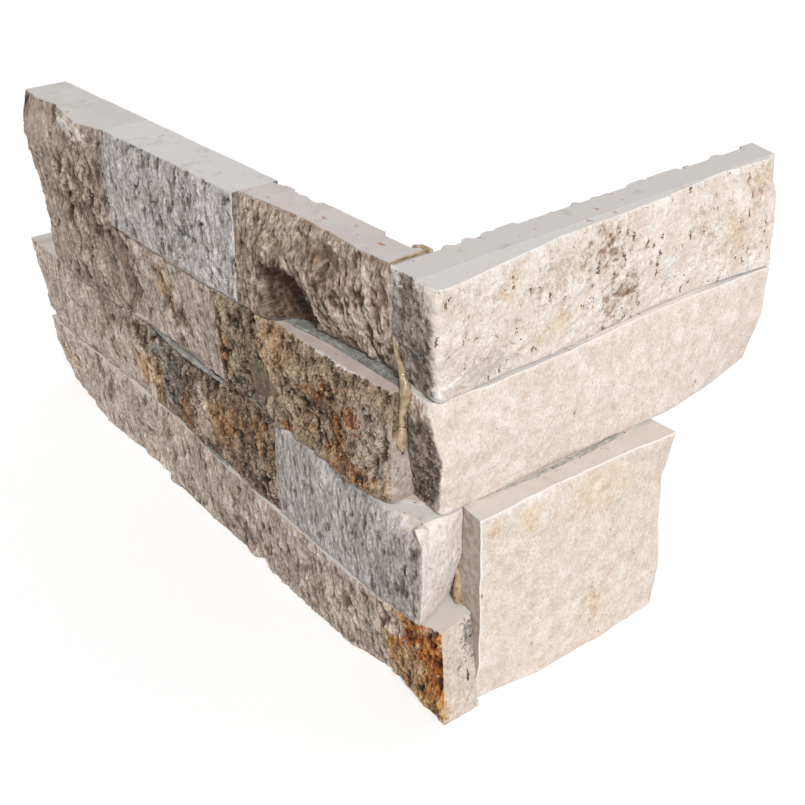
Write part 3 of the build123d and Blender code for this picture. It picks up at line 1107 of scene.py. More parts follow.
class PlanSlicer:
    """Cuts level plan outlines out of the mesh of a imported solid."""

    def __init__(self, node: Piece) -> None:
        """Read the node's triangles and join their loose corners.

        Args:
            node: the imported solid's object.
        """
        mesh = node.data
        raw = np.empty(len(mesh.vertices) * 3)
        mesh.vertices.foreach_get("co", raw)
        points = np.round(raw.reshape(-1, 3) / METRES, 4)
        self.points, which = np.unique(points, axis=0, return_inverse=True)
        mesh.calc_loop_triangles()
        corners = np.empty(len(mesh.loop_triangles) * 3, dtype=int)
        mesh.loop_triangles.foreach_get("vertices", corners)
        self.triangles = which.reshape(-1)[corners].reshape(-1, 3)
        self.bed = float(self.points[:, 2].min())
        self.top = float(self.points[:, 2].max())

    def outline(self, height: float) -> np.ndarray:
        """Cut the solid at one height.

        Args:
            height: where to cut.

        Returns:
            The outline's points, counterclockwise seen from above.
        """
        edge_gap, nearest, nudge, shortest = 0.003, 1e-6, 1e-4, 0.02
        level = min(max(height, self.bed + edge_gap), self.top - edge_gap)
        while np.any(np.abs(self.points[:, 2] - level) < nearest):
            level += nudge
        above = self.points[:, 2] > level
        links: dict[tuple[int, int], list[tuple[int, int]]] = {}
        for triangle in self.triangles[np.ptp(above[self.triangles].astype(int), axis=1) > 0]:
            cut = []
            for first, second in ((0, 1), (1, 2), (2, 0)):
                a, b = int(triangle[first]), int(triangle[second])
                if above[a] != above[b]:
                    cut.append((min(a, b), max(a, b)))
            links.setdefault(cut[0], []).append(cut[1])
            links.setdefault(cut[1], []).append(cut[0])
        start = next(iter(links))
        chain, last, here = [start], None, start
        while True:
            ahead = [edge for edge in links[here] if edge != last]
            last, here = here, ahead[0]
            if here == start:
                break
            chain.append(here)
        ends = np.array(chain)
        low, high = self.points[ends[:, 0]], self.points[ends[:, 1]]
        share = ((level - low[:, 2]) / (high[:, 2] - low[:, 2]))[:, None]
        loop = (low + (high - low) * share)[:, :2]
        loop = loop[np.linalg.norm(loop - np.roll(loop, 1, axis=0), axis=1) > shortest]
        following = np.roll(loop, -1, axis=0)
        turn = np.sum(loop[:, 0] * following[:, 1] - following[:, 0] * loop[:, 1])
        return loop if turn > 0 else loop[::-1]


def spread_points(line: np.ndarray, count: int, axis: int | None) -> np.ndarray:
    """Place points evenly on an open line, without its last one.

    Args:
        line: the line's points.
        count: how many to place.
        axis: axis along which they are even, or None for the line's own length.

    Returns:
        The points.
    """
    if axis is None:
        steps = np.linalg.norm(np.diff(line, axis=0), axis=1)
        run = np.concatenate([[0.0], np.cumsum(steps)])
    else:
        along = line[:, axis] - line[0, axis]
        run = np.maximum.accumulate(along * np.sign(along[-1]))
    wanted = np.arange(count) / count * run[-1]
    return np.stack([np.interp(wanted, run, line[:, 0]), np.interp(wanted, run, line[:, 1])], axis=1)


def closed_faces(level_count: int, column_count: int) -> list[list[int]]:
    """List the faces of a closed stack of rings: its quads, then its bed and its top.

    Args:
        level_count: number of rings.
        column_count: number of points in each ring.

    Returns:
        The corners of each face.
    """
    grid = np.arange(level_count * column_count).reshape(level_count, column_count)
    low, high = grid[:-1], grid[1:]
    quads = np.stack([low, np.roll(low, -1, axis=1), np.roll(high, -1, axis=1), high], axis=2)
    return quads.reshape(-1, 4).tolist() + [grid[0][::-1].tolist(), grid[-1].tolist()]


@dataclass
class SplitStone:
    """One strip of stone with a split face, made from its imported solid."""

    node: str
    leg: Leg
    finish: StoneFinish
    relief: Relief
    split_end: Side | None = None
    dents: tuple[Dent, ...] = ()
    spacing: float = 0.5
    sawn_spacing: float = 3.0
    back_spacing: float = 9.0
    back_chip_height: float = 3.5
    end_rough: float = 1.0
    rounding: float = 2.0
    turn_width: float = 0.5
    arris_width: float = 0.7
    arris_calm: float = 0.85
    corner_calm: float = 0.8
    arris_round: float = 0.4
    sharp_turn: float = math.radians(40)

    def split_sides(self) -> set[Side]:
        """Sides of the strip that were split rather than sawn."""
        return {Side.FACE} if self.split_end is None else {Side.FACE, self.split_end}

    def side_lines(self, outline: np.ndarray) -> list[tuple[Side, np.ndarray]]:
        """Divide an outline at its corners.

        Args:
            outline: the plan outline, counterclockwise.

        Returns:
            The lines round the strip from the split face on, each with its side. A back
            with a rebate gives one line for each straight stretch.
        """
        corners = self.leg.corners(outline)
        loop = np.roll(outline, -corners[0], axis=0)
        places = [(corner - corners[0]) % len(outline) for corner in corners] + [len(outline)]
        loop = np.concatenate([loop, loop[:1]])
        lines = []
        for side, first, last in zip(Side, places, places[1:]):
            line = loop[first:last + 1]
            cuts = [0]
            if side is Side.BACK:
                heading = np.diff(line, axis=0)
                angle = np.arctan2(heading[:, 1], heading[:, 0])
                turn = np.abs((np.diff(angle) + math.pi) % (2 * math.pi) - math.pi)
                cuts += [int(place) + 1 for place in np.nonzero(turn > self.sharp_turn)[0]]
            cuts.append(len(line) - 1)
            lines += [(side, line[a:b + 1]) for a, b in zip(cuts, cuts[1:])]
        return lines

    def point_spacing(self, side: Side) -> float:
        """Distance between points along one side."""
        sawn = self.back_spacing if side is Side.BACK else self.sawn_spacing
        return self.spacing if side in self.split_sides() else sawn

    def rings(self) -> tuple[np.ndarray, list[Side]]:
        """Cut the solid into level rings of matching points.

        Returns:
            The points, by level and column, and the side that each column starts on.
        """
        slicer = PlanSlicer(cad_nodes()[self.node])
        levels = np.linspace(slicer.bed, slicer.top, round((slicer.top - slicer.bed) / self.spacing) + 1)
        middle = self.side_lines(slicer.outline((slicer.bed + slicer.top) / 2))
        counts, columns = [], []
        for side, line in middle:
            length = float(np.linalg.norm(np.diff(line, axis=0), axis=1).sum())
            counts.append(max(1, round(length / self.point_spacing(side))))
            columns += [side] * counts[-1]
        rings = []
        for level in levels:
            lines = self.side_lines(slicer.outline(level))
            if len(lines) != len(middle):
                raise ValueError(f"{self.node}: {len(lines)} lines at {level:.2f}, not {len(middle)}")
            spread = [
                spread_points(line, count, self.leg.run_axis if side is Side.FACE else None)
                for (side, line), count in zip(lines, counts)
            ]
            ring = np.concatenate(spread)
            rings.append(np.column_stack([ring, np.full(len(ring), level)]))
        return np.stack(rings), columns

    def directions(self, rings: np.ndarray, columns: list[Side]) -> tuple[np.ndarray, np.ndarray]:
        """Work out where each point is pushed when the stone is split.

        Args:
            rings: the points, by level and column.
            columns: the side that each column starts on.

        Returns:
            The directions and a mask of the split columns, both by column.
        """
        total = len(columns)
        middle = rings[len(rings) // 2]
        split = self.split_sides()
        push = np.zeros((total, 3))
        on_split = np.zeros(total)
        outward = {Side.FACE: np.array([*self.leg.value, 0.0])}
        if self.split_end is not None:
            first = columns.index(self.split_end)
            span = middle[(first + columns.count(self.split_end)) % total] - middle[first]
            across = np.array([span[1], -span[0], 0.0])
            outward[self.split_end] = across / np.linalg.norm(across)
        for index, side in enumerate(columns):
            before = columns[index - 1]
            if side in split:
                push[index] = outward[side]
            elif before in split:
                push[index] = outward[before]
            on_split[index] = float(side in split or before in split)
        if self.split_end is not None:
            turn = self.corner_index(columns)
            for index in range(total):
                gap = np.linalg.norm(middle[index] - middle[turn])
                if on_split[index] and gap < self.rounding:
                    mean = outward[Side.FACE] + outward[self.split_end]
                    share = gap / self.rounding
                    push[index] = push[index] * share + mean * (1 - share) / np.linalg.norm(mean)
        return push, on_split

    def edge_distance(self, rings: np.ndarray, columns: list[Side], on_split: np.ndarray) -> np.ndarray:
        """Distance of each point of the split face from the nearest sawn edge.

        Args:
            rings: the points, by level and column.
            columns: the side that each column starts on.
            on_split: mask of the split columns.

        Returns:
            The distances, by level and column.
        """
        levels = rings[:, :, 2]
        upright = np.minimum(levels - levels.min(), levels.max() - levels)
        sides = np.full(upright.shape, 1e3)
        total = len(columns)
        for index in range(total):
            if on_split[index] and not (on_split[index - 1] and on_split[(index + 1) % total]):
                gap = np.linalg.norm(rings[:, :, :2] - rings[:, index:index + 1, :2], axis=2)
                sides = np.minimum(sides, gap)
        return np.minimum(upright, sides)

    def corner_index(self, columns: list[Side]) -> int:
        """Find the column where the split face meets the split end."""
        return 0 if self.split_end is Side.NEAR_END else columns.index(self.split_end)

    def corner_wear(
        self, rings: np.ndarray, columns: list[Side]
    ) -> tuple[np.ndarray, np.ndarray, np.ndarray]:
        """Work out how the arris between the split face and the split end is worn.

        Args:
            rings: the points, by level and column.
            columns: the side that each column starts on.

        Returns:
            By point: how far the arris is worn back, how near the arris is from 0 to 1, and
            a mask that rises from the arris over the split end.
        """
        if self.split_end is None:
            none = np.zeros(rings.shape[0] * rings.shape[1])
            return none, none, none
        corner = self.corner_index(columns)
        gap = np.linalg.norm(rings[:, :, :2] - rings[:, corner:corner + 1, :2], axis=2)
        level = rings[:, :1, 2] + self.relief.seed
        radius = self.rounding * (1 + 0.3 * np.sin(level * 0.41) + 0.2 * np.sin(level * 1.03))
        share = np.clip(1 - gap / radius, 0.0, 1.0)
        on_end = np.array([float(side is self.split_end) for side in columns])
        turned = np.clip(gap / self.turn_width, 0.0, 1.0) * on_end
        back = (math.sqrt(2) - 1) * radius * share ** 2
        return back.reshape(-1), share.reshape(-1), turned.reshape(-1)

    def blank(self) -> Piece:
        """Build the closed mesh that the relief tree starts from.

        Returns:
            The blank, with the attributes that the tree reads.
        """
        rings, columns = self.rings()
        push, on_split = self.directions(rings, columns)
        level_count, column_count = rings.shape[:2]
        points = rings.reshape(-1, 3).copy()
        push_all = np.tile(push, (level_count, 1))
        split_all = np.tile(on_split, level_count)
        rough = split_all.copy()
        for dent in self.dents:
            weight = dent.weight(points)
            points -= push_all * (weight * dent.depth)[:, None]
            rough *= 1 + (dent.rough - 1) * weight
        gap = self.edge_distance(rings, columns, on_split).reshape(-1)
        arris = np.exp(-gap / self.arris_width) * split_all
        worn_back, near_corner, turned = self.corner_wear(rings, columns)
        rough *= (1 - self.arris_calm * arris) * (1 + (self.end_rough - 1) * turned)
        rough *= 1 - self.corner_calm * near_corner
        points -= push_all * (self.arris_round * arris + worn_back)[:, None]
        below_top = rings[:, :, 2].max() - rings[:, :, 2].reshape(-1)
        on_back = np.array([
            float(side is Side.BACK or columns[index - 1] is Side.BACK) for index, side in enumerate(columns)
        ])
        back_edge = np.clip(1 - below_top / self.back_chip_height, 0, 1) * np.tile(on_back, level_count)
        inset = np.tile(np.array([*self.leg.value, 0.0]), (len(points), 1))

        sawn_column = np.array([0.0 if side in self.split_sides() else 1.0 for side in columns])
        sawn = np.concatenate([np.tile(sawn_column, level_count - 1), [1.0, 1.0]])
        end_column = sawn_column * [side is not Side.BACK for side in columns]
        end = np.concatenate([np.tile(end_column, level_count - 1), [0.0, 0.0]])

        mesh = bpy.data.meshes.new(f"{self.node} blank")
        mesh.from_pydata((points * METRES).tolist(), [], closed_faces(level_count, column_count))
        for name, values, domain in (
            ("split", split_all, "POINT"), ("rough", rough, "POINT"), ("arris", arris, "POINT"),
            ("back_edge", back_edge, "POINT"), ("turn", turned, "POINT"), ("sawn", sawn, "FACE"),
            ("end", end, "FACE"),
        ):
            mesh.attributes.new(name, "FLOAT", domain).data.foreach_set("value", values)
        for name, values in (("push", push_all), ("inset", inset)):
            made = mesh.attributes.new(name, "FLOAT_VECTOR", "POINT")
            made.data.foreach_set("vector", values.reshape(-1))
        mesh.polygons.foreach_set("use_smooth", sawn < 0.5)
        return add_object(f"{self.node} blank", mesh)

    def build(self, tree: Tree, effects: Effects) -> Piece:
        """Split, finish and place the stone.

        Args:
            tree: the relief tree.
            effects: the shared shader groups.

        Returns:
            The finished piece.
        """
        sizes = {**self.relief.inputs(), "Finish": self.finish.material(self.node, effects)}
        piece = apply_tree(self.blank(), tree, sizes, f"{self.node}_split")
        with mesh_edit(piece.data) as edit:
            bmesh.ops.triangulate(edit, faces=[face for face in edit.faces if len(face.verts) > 4])
        for name in ("push", "inset", "back_edge", "split"):
            piece.data.attributes.remove(piece.data.attributes[name])
        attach(piece, "root")
        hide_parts(self.node)
        return piece


@dataclass
class GlueBead:
    """One bead of glue that follows a path, thicker and thinner along it."""

    name: str
    path: tuple[Point, ...]
    radii: tuple[float, ...]
    width: float
    height: float
    finish: GlueFinish
    lump_height: float = 0.2
    lump_size: float = 2.5
    step: float = 0.6
    seed: float = 0.0
    replaces: tuple[str, ...] = ()

    def curve(self) -> Piece:
        """Lay the smooth path of the bead.

        Returns:
            The curve object.
        """
        data = bpy.data.curves.new(f"{self.name} path", "CURVE")
        data.dimensions = "3D"
        spline = data.splines.new("NURBS")
        spline.points.add(len(self.path) - 1)
        for knot, point, radius in zip(spline.points, self.path, self.radii):
            knot.co = (*(value * METRES for value in point), 1.0)
            knot.radius = radius
        spline.order_u = 3
        spline.use_endpoint_u = True
        return add_object(f"{self.name} path", data)

    def build(self, tree: Tree, material: bpy.types.Material) -> Piece:
        """Run the bead along its path.

        Args:
            tree: the bead tree.
            material: its finish.

        Returns:
            The finished piece.
        """
        piece = apply_tree(self.curve(), tree, {
            "Width": self.width, "Height": self.height, "Step": self.step,
            "Lump Height": self.lump_height, "Lump Size": self.lump_size,
            "Seed": self.seed, "Finish": material,
        }, self.name)
        with mesh_edit(piece.data) as edit:
            bmesh.ops.remove_doubles(edit, verts=edit.verts, dist=WELD_GAP)
            bmesh.ops.recalc_face_normals(edit, faces=edit.faces)
        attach(piece, "root")
        if self.replaces:
            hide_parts(*self.replaces)
        return piece


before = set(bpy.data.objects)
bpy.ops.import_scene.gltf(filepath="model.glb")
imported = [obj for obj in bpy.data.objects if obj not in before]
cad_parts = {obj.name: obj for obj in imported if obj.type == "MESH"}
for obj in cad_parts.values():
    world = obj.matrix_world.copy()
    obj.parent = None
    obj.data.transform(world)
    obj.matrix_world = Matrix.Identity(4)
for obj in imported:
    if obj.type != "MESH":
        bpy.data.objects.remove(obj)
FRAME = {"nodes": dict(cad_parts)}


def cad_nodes() -> dict[str, Piece]:
    """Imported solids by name."""
    return FRAME["nodes"]


# In each finish the hollow tone is painted shade for scoops and creases, and the ridge value paints a
# highlight on high places.
SPLIT_BROWN = StoneFinish(
    "stone_brown", tone(130, 111, 97), tone(165, 147, 133), tone(206, 190, 175),
    hollow=tone(116, 94, 76), mottle=10.0, worn_arris=0.1, fleck_cover=0.01, ridge_light=0.7,
    crease_depth=0.5, speck_weight=0.6,
)
SPLIT_BEIGE = StoneFinish(
    "stone_beige", tone(160, 141, 128), tone(190, 172, 159), tone(220, 206, 193),
    hollow=tone(136, 113, 96), mottle=11.0, crease_depth=0.45, worn_arris=0.15, fleck_cover=0.01,
    ridge_light=0.6, speck_weight=0.6,
)
SPLIT_GREY = StoneFinish(
    "stone_grey", tone(160, 153, 149), tone(188, 182, 178), tone(222, 217, 214),
    hollow=tone(130, 122, 118), mottle=14.0, grain_height=0.24, upright=2.6, fleck_cover=0.01,
    worn_arris=0.2, crease_depth=0.4, speck_weight=0.7,
)
SPLIT_RUST = StoneFinish(
    "stone_rust", tone(122, 100, 80), tone(166, 143, 120), tone(208, 186, 158),
    hollow=tone(98, 74, 54), mottle=8.0, grain_height=0.38, pore_cover=0.26, pore_size=0.8,
    pore_tone=tone(66, 48, 36), worn_arris=0.1, fleck_cover=0.012, ridge_light=0.5,
    crease_depth=0.6, speck_weight=0.7, upright=1.4, grain_size=0.45,
)
SPLIT_CREAM = StoneFinish(
    "stone_cream", tone(212, 196, 183), tone(224, 210, 199), tone(237, 228, 221),
    hollow=tone(222, 204, 188), hollow_depth=0.3, crease_depth=0.2, ridge_light=0.15, mottle=5.5,
    streak_weight=0.25, speck_size=0.7, speck_weight=0.9, grain_size=0.6, grain_height=0.14,
    grain_shade=0.35, upright=1.5, pore_cover=0.012, pore_tone=tone(184, 140, 98), worn_arris=0.6,
    fleck_cover=0.04,
)


@dataclass
class StoneCourse:
    """A course of strips; each kind lists its own stones."""

    upright: float = 2.2
    fine_spacing: float = 0.42

    def stones(self) -> list[SplitStone]:
        """List the stones of the course."""
        raise NotImplementedError

    def strip(self, node: str, finish: StoneFinish, relief: Relief, **form: object) -> SplitStone:
        """Make one finely split strip of the long leg."""
        return SplitStone(node, Leg.LONG, finish, relief, spacing=self.fine_spacing, **form)

    def build(self, tree: Tree, effects: Effects) -> list[Piece]:
        """Build every stone of the course.

        Args:
            tree: the relief tree.
            effects: the shared shader groups.

        Returns:
            The finished pieces.
        """
        made = []
        for stone in self.stones():
            piece = stone.build(tree, effects)
            LOG.info("%s: %d faces", piece.name, len(piece.data.polygons))
            made.append(piece)
        return made


@dataclass
class TopCourse(StoneCourse):
    """Brown tall stone, grey stone, hollow stone and the long cream stone of the return."""

    cavity_centre: Point = (-54.0, -13.0, 124.0)
    cavity_reach: Point = (12.0, 12.0, 13.0)
    chipped_back_spacing: float = 0.8

    def tall_stone(self) -> SplitStone:
        """Brown stone at the free end, two courses high.

        Returns:
            The stone.
        """
        # painted shade: the dark end tone stands for the shade on the narrow end that shows beside the next
        # stone
        finish = replace(SPLIT_BROWN, seed=3.0, end=tone(104, 90, 78), sawn=tone(215, 211, 208), stains=(
            Stain((-232, -20, 141), (17, 12, 11), BLUSH, 0.35, 0.5, 5.0),
            Stain((-196, -20, 148), (17, 12, 4.5), CHALK, 0.85, 0.5, 3.0),
            Stain((-203, -20, 118), (25, 14, 20), UMBER, 0.6, 0.8, 5.0),
            Stain((-200, -20, 124), (16, 14, 13), BARK, 0.45, 1.0, 4.0),
            Stain((-248, -20, 147), (4, 9, 5), SOOT, 0.7, 0.5, 2.4),
        ))
        relief = Relief(
            lump_height=0.7, lump_size=9.0, scoop_height=1.8, scoop_size=5.6, pit_depth=1.3,
            pit_size=3.6, pit_cover=0.26, grain_size=2.3, chip_depth=0.3, seed=3.0,
        )
        dents = (
            Dent((-234, -20, 143), (17, 14, 9), 0.0, 0.4),
            Dent((-200, -20, 122), (22, 14, 16), 0.3, 1.35),
        )
        return self.strip("top_left_tall_stone", finish, relief, dents=dents, back_spacing=2.0)

    def grey_stone(self) -> SplitStone:
        """Cool grey stone with upright chisel pits.

        Returns:
            The stone.
        """
        # painted shade: the dark end tone stands for the shade on the narrow end that shows beside the next
        # stone
        finish = replace(SPLIT_GREY, seed=11.0, end=tone(104, 90, 78), sawn=tone(226, 223, 220), stains=(
            Stain((-119, -18, 128), (13, 12, 20), SLATE, 0.4, 0.8, 4.0),
            Stain((-138, -18, 140), (9, 12, 12), SLATE, 0.3, 0.9, 4.0),
            Stain((-163, -20, 120), (8, 12, 22), SLATE, 0.2, 0.7, 5.0),
        ))
        relief = Relief(
            lump_height=0.5, lump_size=9.0, scoop_height=1.2, scoop_size=3.8, pit_depth=1.1,
            pit_size=3.0, grain_height=0.45, chip_depth=0.3, seed=11.0,
        )
        return self.strip("top_grey_stone", finish, relief, back_spacing=2.0)

    def hollow_stone(self) -> SplitStone:
        """Beige stone with the deep cavity.

        Returns:
            The stone.
        """
        finish = replace(
            SPLIT_BROWN, slot="stone_beige", seed=21.0, sawn=tone(214, 205, 201),
            deep=tone(124, 102, 86), middle=tone(166, 144, 127), pale=tone(216, 199, 181),
            pore_cover=0.08, crease_depth=0.6, fleck_cover=0.0,
            stains=(
                # the cavity's interior is painted dark: its own brown tone and painted shade
                Stain((-51, -14, 121.5), (13, 16, 12), CAVITY_TONE_AND_SHADE, 1.0, 0.08, 6.0),
                Stain((-56, -14, 131), (8, 16, 9), CAVITY_TONE_AND_SHADE, 1.0, 0.08, 6.0),
                Stain((-52, -12, 126), (5, 12, 3), UMBER, 0.5, 0.6, 3.0),
                Stain((-31, -15, 144.5), (7.5, 9, 5), UMBER, 0.6, 0.4, 3.0),
                Stain((-12, -13, 132), (19, 12, 19), BLUSH, 0.7, 0.8, 4.0),
            ),
        )
        relief = Relief(
            scoop_height=1.7, scoop_size=4.2, upright=2.5, pit_depth=0.9, pit_size=2.6, pit_cover=0.18,
            grain_height=0.65, grain_size=1.9, chip_depth=1.8, chip_length=12.0, seed=21.0,
        )
        dents = (
            Dent(self.cavity_centre, self.cavity_reach, 0.0, 0.2),
            Dent((-51.5, -14, 122.5), (10, 16, 12), 3.2, 0.5, 3.0),
            Dent((-31, -15, 144.5), (8, 14, 5.5), 1.6, 0.6, 2.0),
        )
        return self.strip(
            "top_hollow_stone", finish, relief, dents=dents, back_spacing=self.chipped_back_spacing,
        )

    def corner_stone(self) -> SplitStone:
        """Cream stone that runs the whole return leg and shows its dark split end.

        Returns:
            The stone.
        """
        spongy = Crust(tone(140, 112, 92), tone(200, 180, 164), tone(230, 218, 208), 1.1)
        ash = Crust(tone(86, 76, 70), tone(132, 120, 110), tone(172, 158, 146), 1.8, 2.0)
        peat = Crust(tone(122, 94, 74), tone(180, 154, 134), tone(216, 198, 182), 1.2)
        finish = replace(
            SPLIT_CREAM, seed=33.0, sawn=tone(230, 226, 223), pore_cover=0.17, pore_size=1.5,
            pore_tone=tone(142, 102, 64), deep=tone(216, 200, 186), middle=tone(228, 217, 207),
            pale=tone(242, 237, 232), grain_height=0.14, top_pore_cover=0.08, crack_cover=0.3,
            saw_step=(12.9, -0.006), mottle=9.0,
            stains=(
                Stain((10, -14, 133), (14, 14, 24), ash, 0.9, 0.5, 6.0, Where.END),
                Stain((13, -14, 128), (9, 12, 17), SOOT, 0.5, 1.0, 3.0, Where.END),
                Stain((19, -14, 149), (6, 12, 6), PLASTER, 0.7, 0.6, 3.0, Where.END),
                Stain((16, 52, 143), (10, 11, 8), spongy, 0.75, 0.9, 2.6),
                Stain((17, 60, 126), (10, 9, 12), spongy, 0.7, 1.1, 2.4),
                Stain((16, 54, 147), (10, 5, 3), peat, 0.6, 0.8, 2.0),
                Stain((17, 62, 129), (10, 5, 4), peat, 0.7, 1.0, 2.0),
                Stain((15, 12, 144), (9, 9, 5), HONEY, 0.5, 0.9, 4.0),
                Stain((15, 34, 126), (9, 12, 5), HONEY, 0.35, 1.1, 4.0),
                Stain((17, 30, 141), (9, 8, 7), spongy, 0.45, 1.1, 2.0),
                Stain((17, 100, 139), (9, 7, 6), spongy, 0.4, 1.2, 2.0),
                Stain((18, 114, 131), (10, 9, 9), OCHRE, 0.3, 1.1, 2.4),
                Stain((20, 126, 145), (10, 5, 8), OCHRE, 0.35, 1.1, 2.0),
                Stain((17, 6, 121), (6, 10, 5), ash, 0.3, 1.1, 1.6, Where.FACE),
            ),
        )
        relief = Relief(
            lump_height=0.5, lump_size=9.0, scoop_height=0.45, scoop_size=3.4, upright=1.0,
            pit_depth=1.0, pit_size=2.4, pit_cover=0.07, grain_height=0.25, grain_size=1.5,
            chip_depth=1.7, chip_length=9.0, seed=33.0,
        )
        dents = (
            Dent((17, 56, 133), (14, 14, 18), 0.3, 1.5),
            Dent((17, 30, 142), (14, 1.5, 2.5), 1.4, 1.0),
            Dent((20, 136, 150), (30, 6, 9), 2.2, 1.0),
        )
        return SplitStone(
            "top_corner_stone", Leg.RETURN, finish, relief, split_end=Side.NEAR_END,
            dents=dents, back_spacing=self.chipped_back_spacing, rounding=4.0, turn_width=6.0,
            end_rough=1.6,
        )

    def stones(self) -> list[SplitStone]:
        """List the stones of the top course."""
        return [self.tall_stone(), self.grey_stone(), self.hollow_stone(), self.corner_stone()]


@dataclass
class SecondCourse(StoneCourse):
    """Pale stone, rusty stone and the cream stone of the return."""

    smooth_patch: Point = (-67.0, -19.0, 90.0)

    def left_stone(self) -> SplitStone:
        """Pale beige stone next to the tall stone.

        Returns:
            The stone.
        """
        finish = replace(SPLIT_BEIGE, seed=41.0, sawn=tone(212, 204, 198), stains=(
            Stain((-167, -19, 94), (6, 12, 15), BARK, 0.85, 0.5, 5.0),
            Stain((-136, -19, 102), (5.5, 12, 7), OCHRE, 0.75, 0.7, 2.4),
            Stain((-133, -19, 99), (4, 12, 5), UMBER, 0.8, 0.7, 3.0),
            Stain((-130, -19, 94), (4, 12, 4), RUST, 0.6, 1.0, 2.0),
            Stain((-123, -19, 92), (5, 12, 4.5), BARK, 0.85, 0.8, 2.0),
        ))
        relief = Relief(
            lump_height=0.7, scoop_size=4.8, pit_depth=0.6, pit_size=2.8, pit_cover=0.1,
            grain_height=0.35, seed=41.0,
        )
        return self.strip("second_left_stone", finish, relief)

    def rusty_stone(self) -> SplitStone:
        """Olive brown stone with rust that laps the corner.

        Returns:
            The stone.
        """
        finish = replace(
            SPLIT_RUST, seed=52.0, sawn=tone(202, 186, 178),
            stains=(
                Stain((-82, -19, 102), (20, 12, 13), BARK, 0.95, 0.8, 4.0),
                Stain((-80, -19, 84), (20, 12, 9), BARK, 0.75, 1.0, 3.0),
                Stain((-97, -19, 109), (5, 10, 5), RUST, 0.8, 0.6, 2.0),
                Stain((-57, -19, 106), (8, 12, 8), OCHRE, 0.5, 1.2, 2.0),
                Stain((-90, -19, 93), (4, 12, 12), EMBER, 0.85, 0.8, 2.0),
                Stain((-67, -19, 90), (9, 12, 7.5), OLIVE, 0.95, 0.25, 6.0),
                Stain((-72, -19, 80), (20, 12, 4.5), SOOT, 0.8, 1.0, 2.2),
                Stain((-6, -19, 93), (13, 12, 13), MORTAR, 0.5, 0.6, 5.0, Where.FACE),
                Stain((-28, -19, 91), (12, 12, 12), RUST, 1.0, 1.1, 2.6),
                Stain((-31, -19, 89), (6, 12, 10), SOOT, 0.85, 1.1, 1.8),
                Stain((-14, -19, 99), (4, 12, 4.5), EMBER, 0.9, 0.9, 2.0),
                Stain((-13, -19, 81), (10, 12, 4.5), RUST, 0.8, 1.1, 2.2),
                Stain((-24, -15, 114.7), (26, 12, 1.5), PLASTER, 0.85, 0.3, 2.0, Where.FACE),
                Stain((-51, -20, 78), (4, 12, 4), EMBER, 0.95, 0.4, 2.0),
                Stain((6, -16, 85), (20, 20, 16), MORTAR, 0.95, 0.05, 6.0, Where.END),
                # dark top of the split end: a crack with painted shade next to the resin
                Stain((6, -16, 108), (20, 20, 9), BARK, 0.95, 0.2, 4.0, Where.END),
            ),
        )
        relief = Relief(
            scoop_height=1.6, upright=1.3, pit_depth=1.2, pit_cover=0.22, grain_size=1.3, seed=52.0,
        )
        dents = (
            Dent(self.smooth_patch, (11, 12, 8), 0.6, 0.2),
            Dent((-51, -20, 78), (4.5, 12, 4.5), 1.6, 1.0),
            Dent((-30, -19, 86), (12, 12, 8), 0.7, 1.5),
            Dent((-22, -20, 76), (36, 12, 8), -0.7, 1.0),
        )
        return self.strip(
            "second_rusty_stone", finish, relief, split_end=Side.FAR_END, dents=dents,
            rounding=2.6, end_rough=0.08,
        )

    def corner_stone(self) -> SplitStone:
        """Cream stone of the return, with a darker split end.

        Returns:
            The stone.
        """
        dusk = Crust(tone(66, 55, 47), tone(104, 90, 80), tone(142, 124, 112), 1.6, 2.6)
        finish = replace(SPLIT_CREAM, seed=63.0, stains=(
            Stain((7, -14, 92), (16, 12, 20), dusk, 0.95, 0.2, 6.0, Where.END),
            Stain((9, -14, 110), (12, 12, 4), BLUSH, 0.6, 0.5, 3.0, Where.END),
        ))
        relief = Relief(
            lump_height=0.5, lump_size=11.0, scoop_height=0.22, upright=1.0, pit_depth=0.25,
            pit_cover=0.02, grain_height=0.2, grain_size=1.1, seed=63.0,
        )
        dents = (Dent((8, -18, 114.5), (16, 7, 5), 1.6, 0.5),)
        return SplitStone(
            "second_corner_stone", Leg.RETURN, finish, relief, split_end=Side.NEAR_END,
            dents=dents, rounding=3.2, turn_width=3.0, end_rough=3.0,
        )

    def stones(self) -> list[SplitStone]:
        """List the stones of the second course."""
        return [self.left_stone(), self.rusty_stone(), self.corner_stone()]


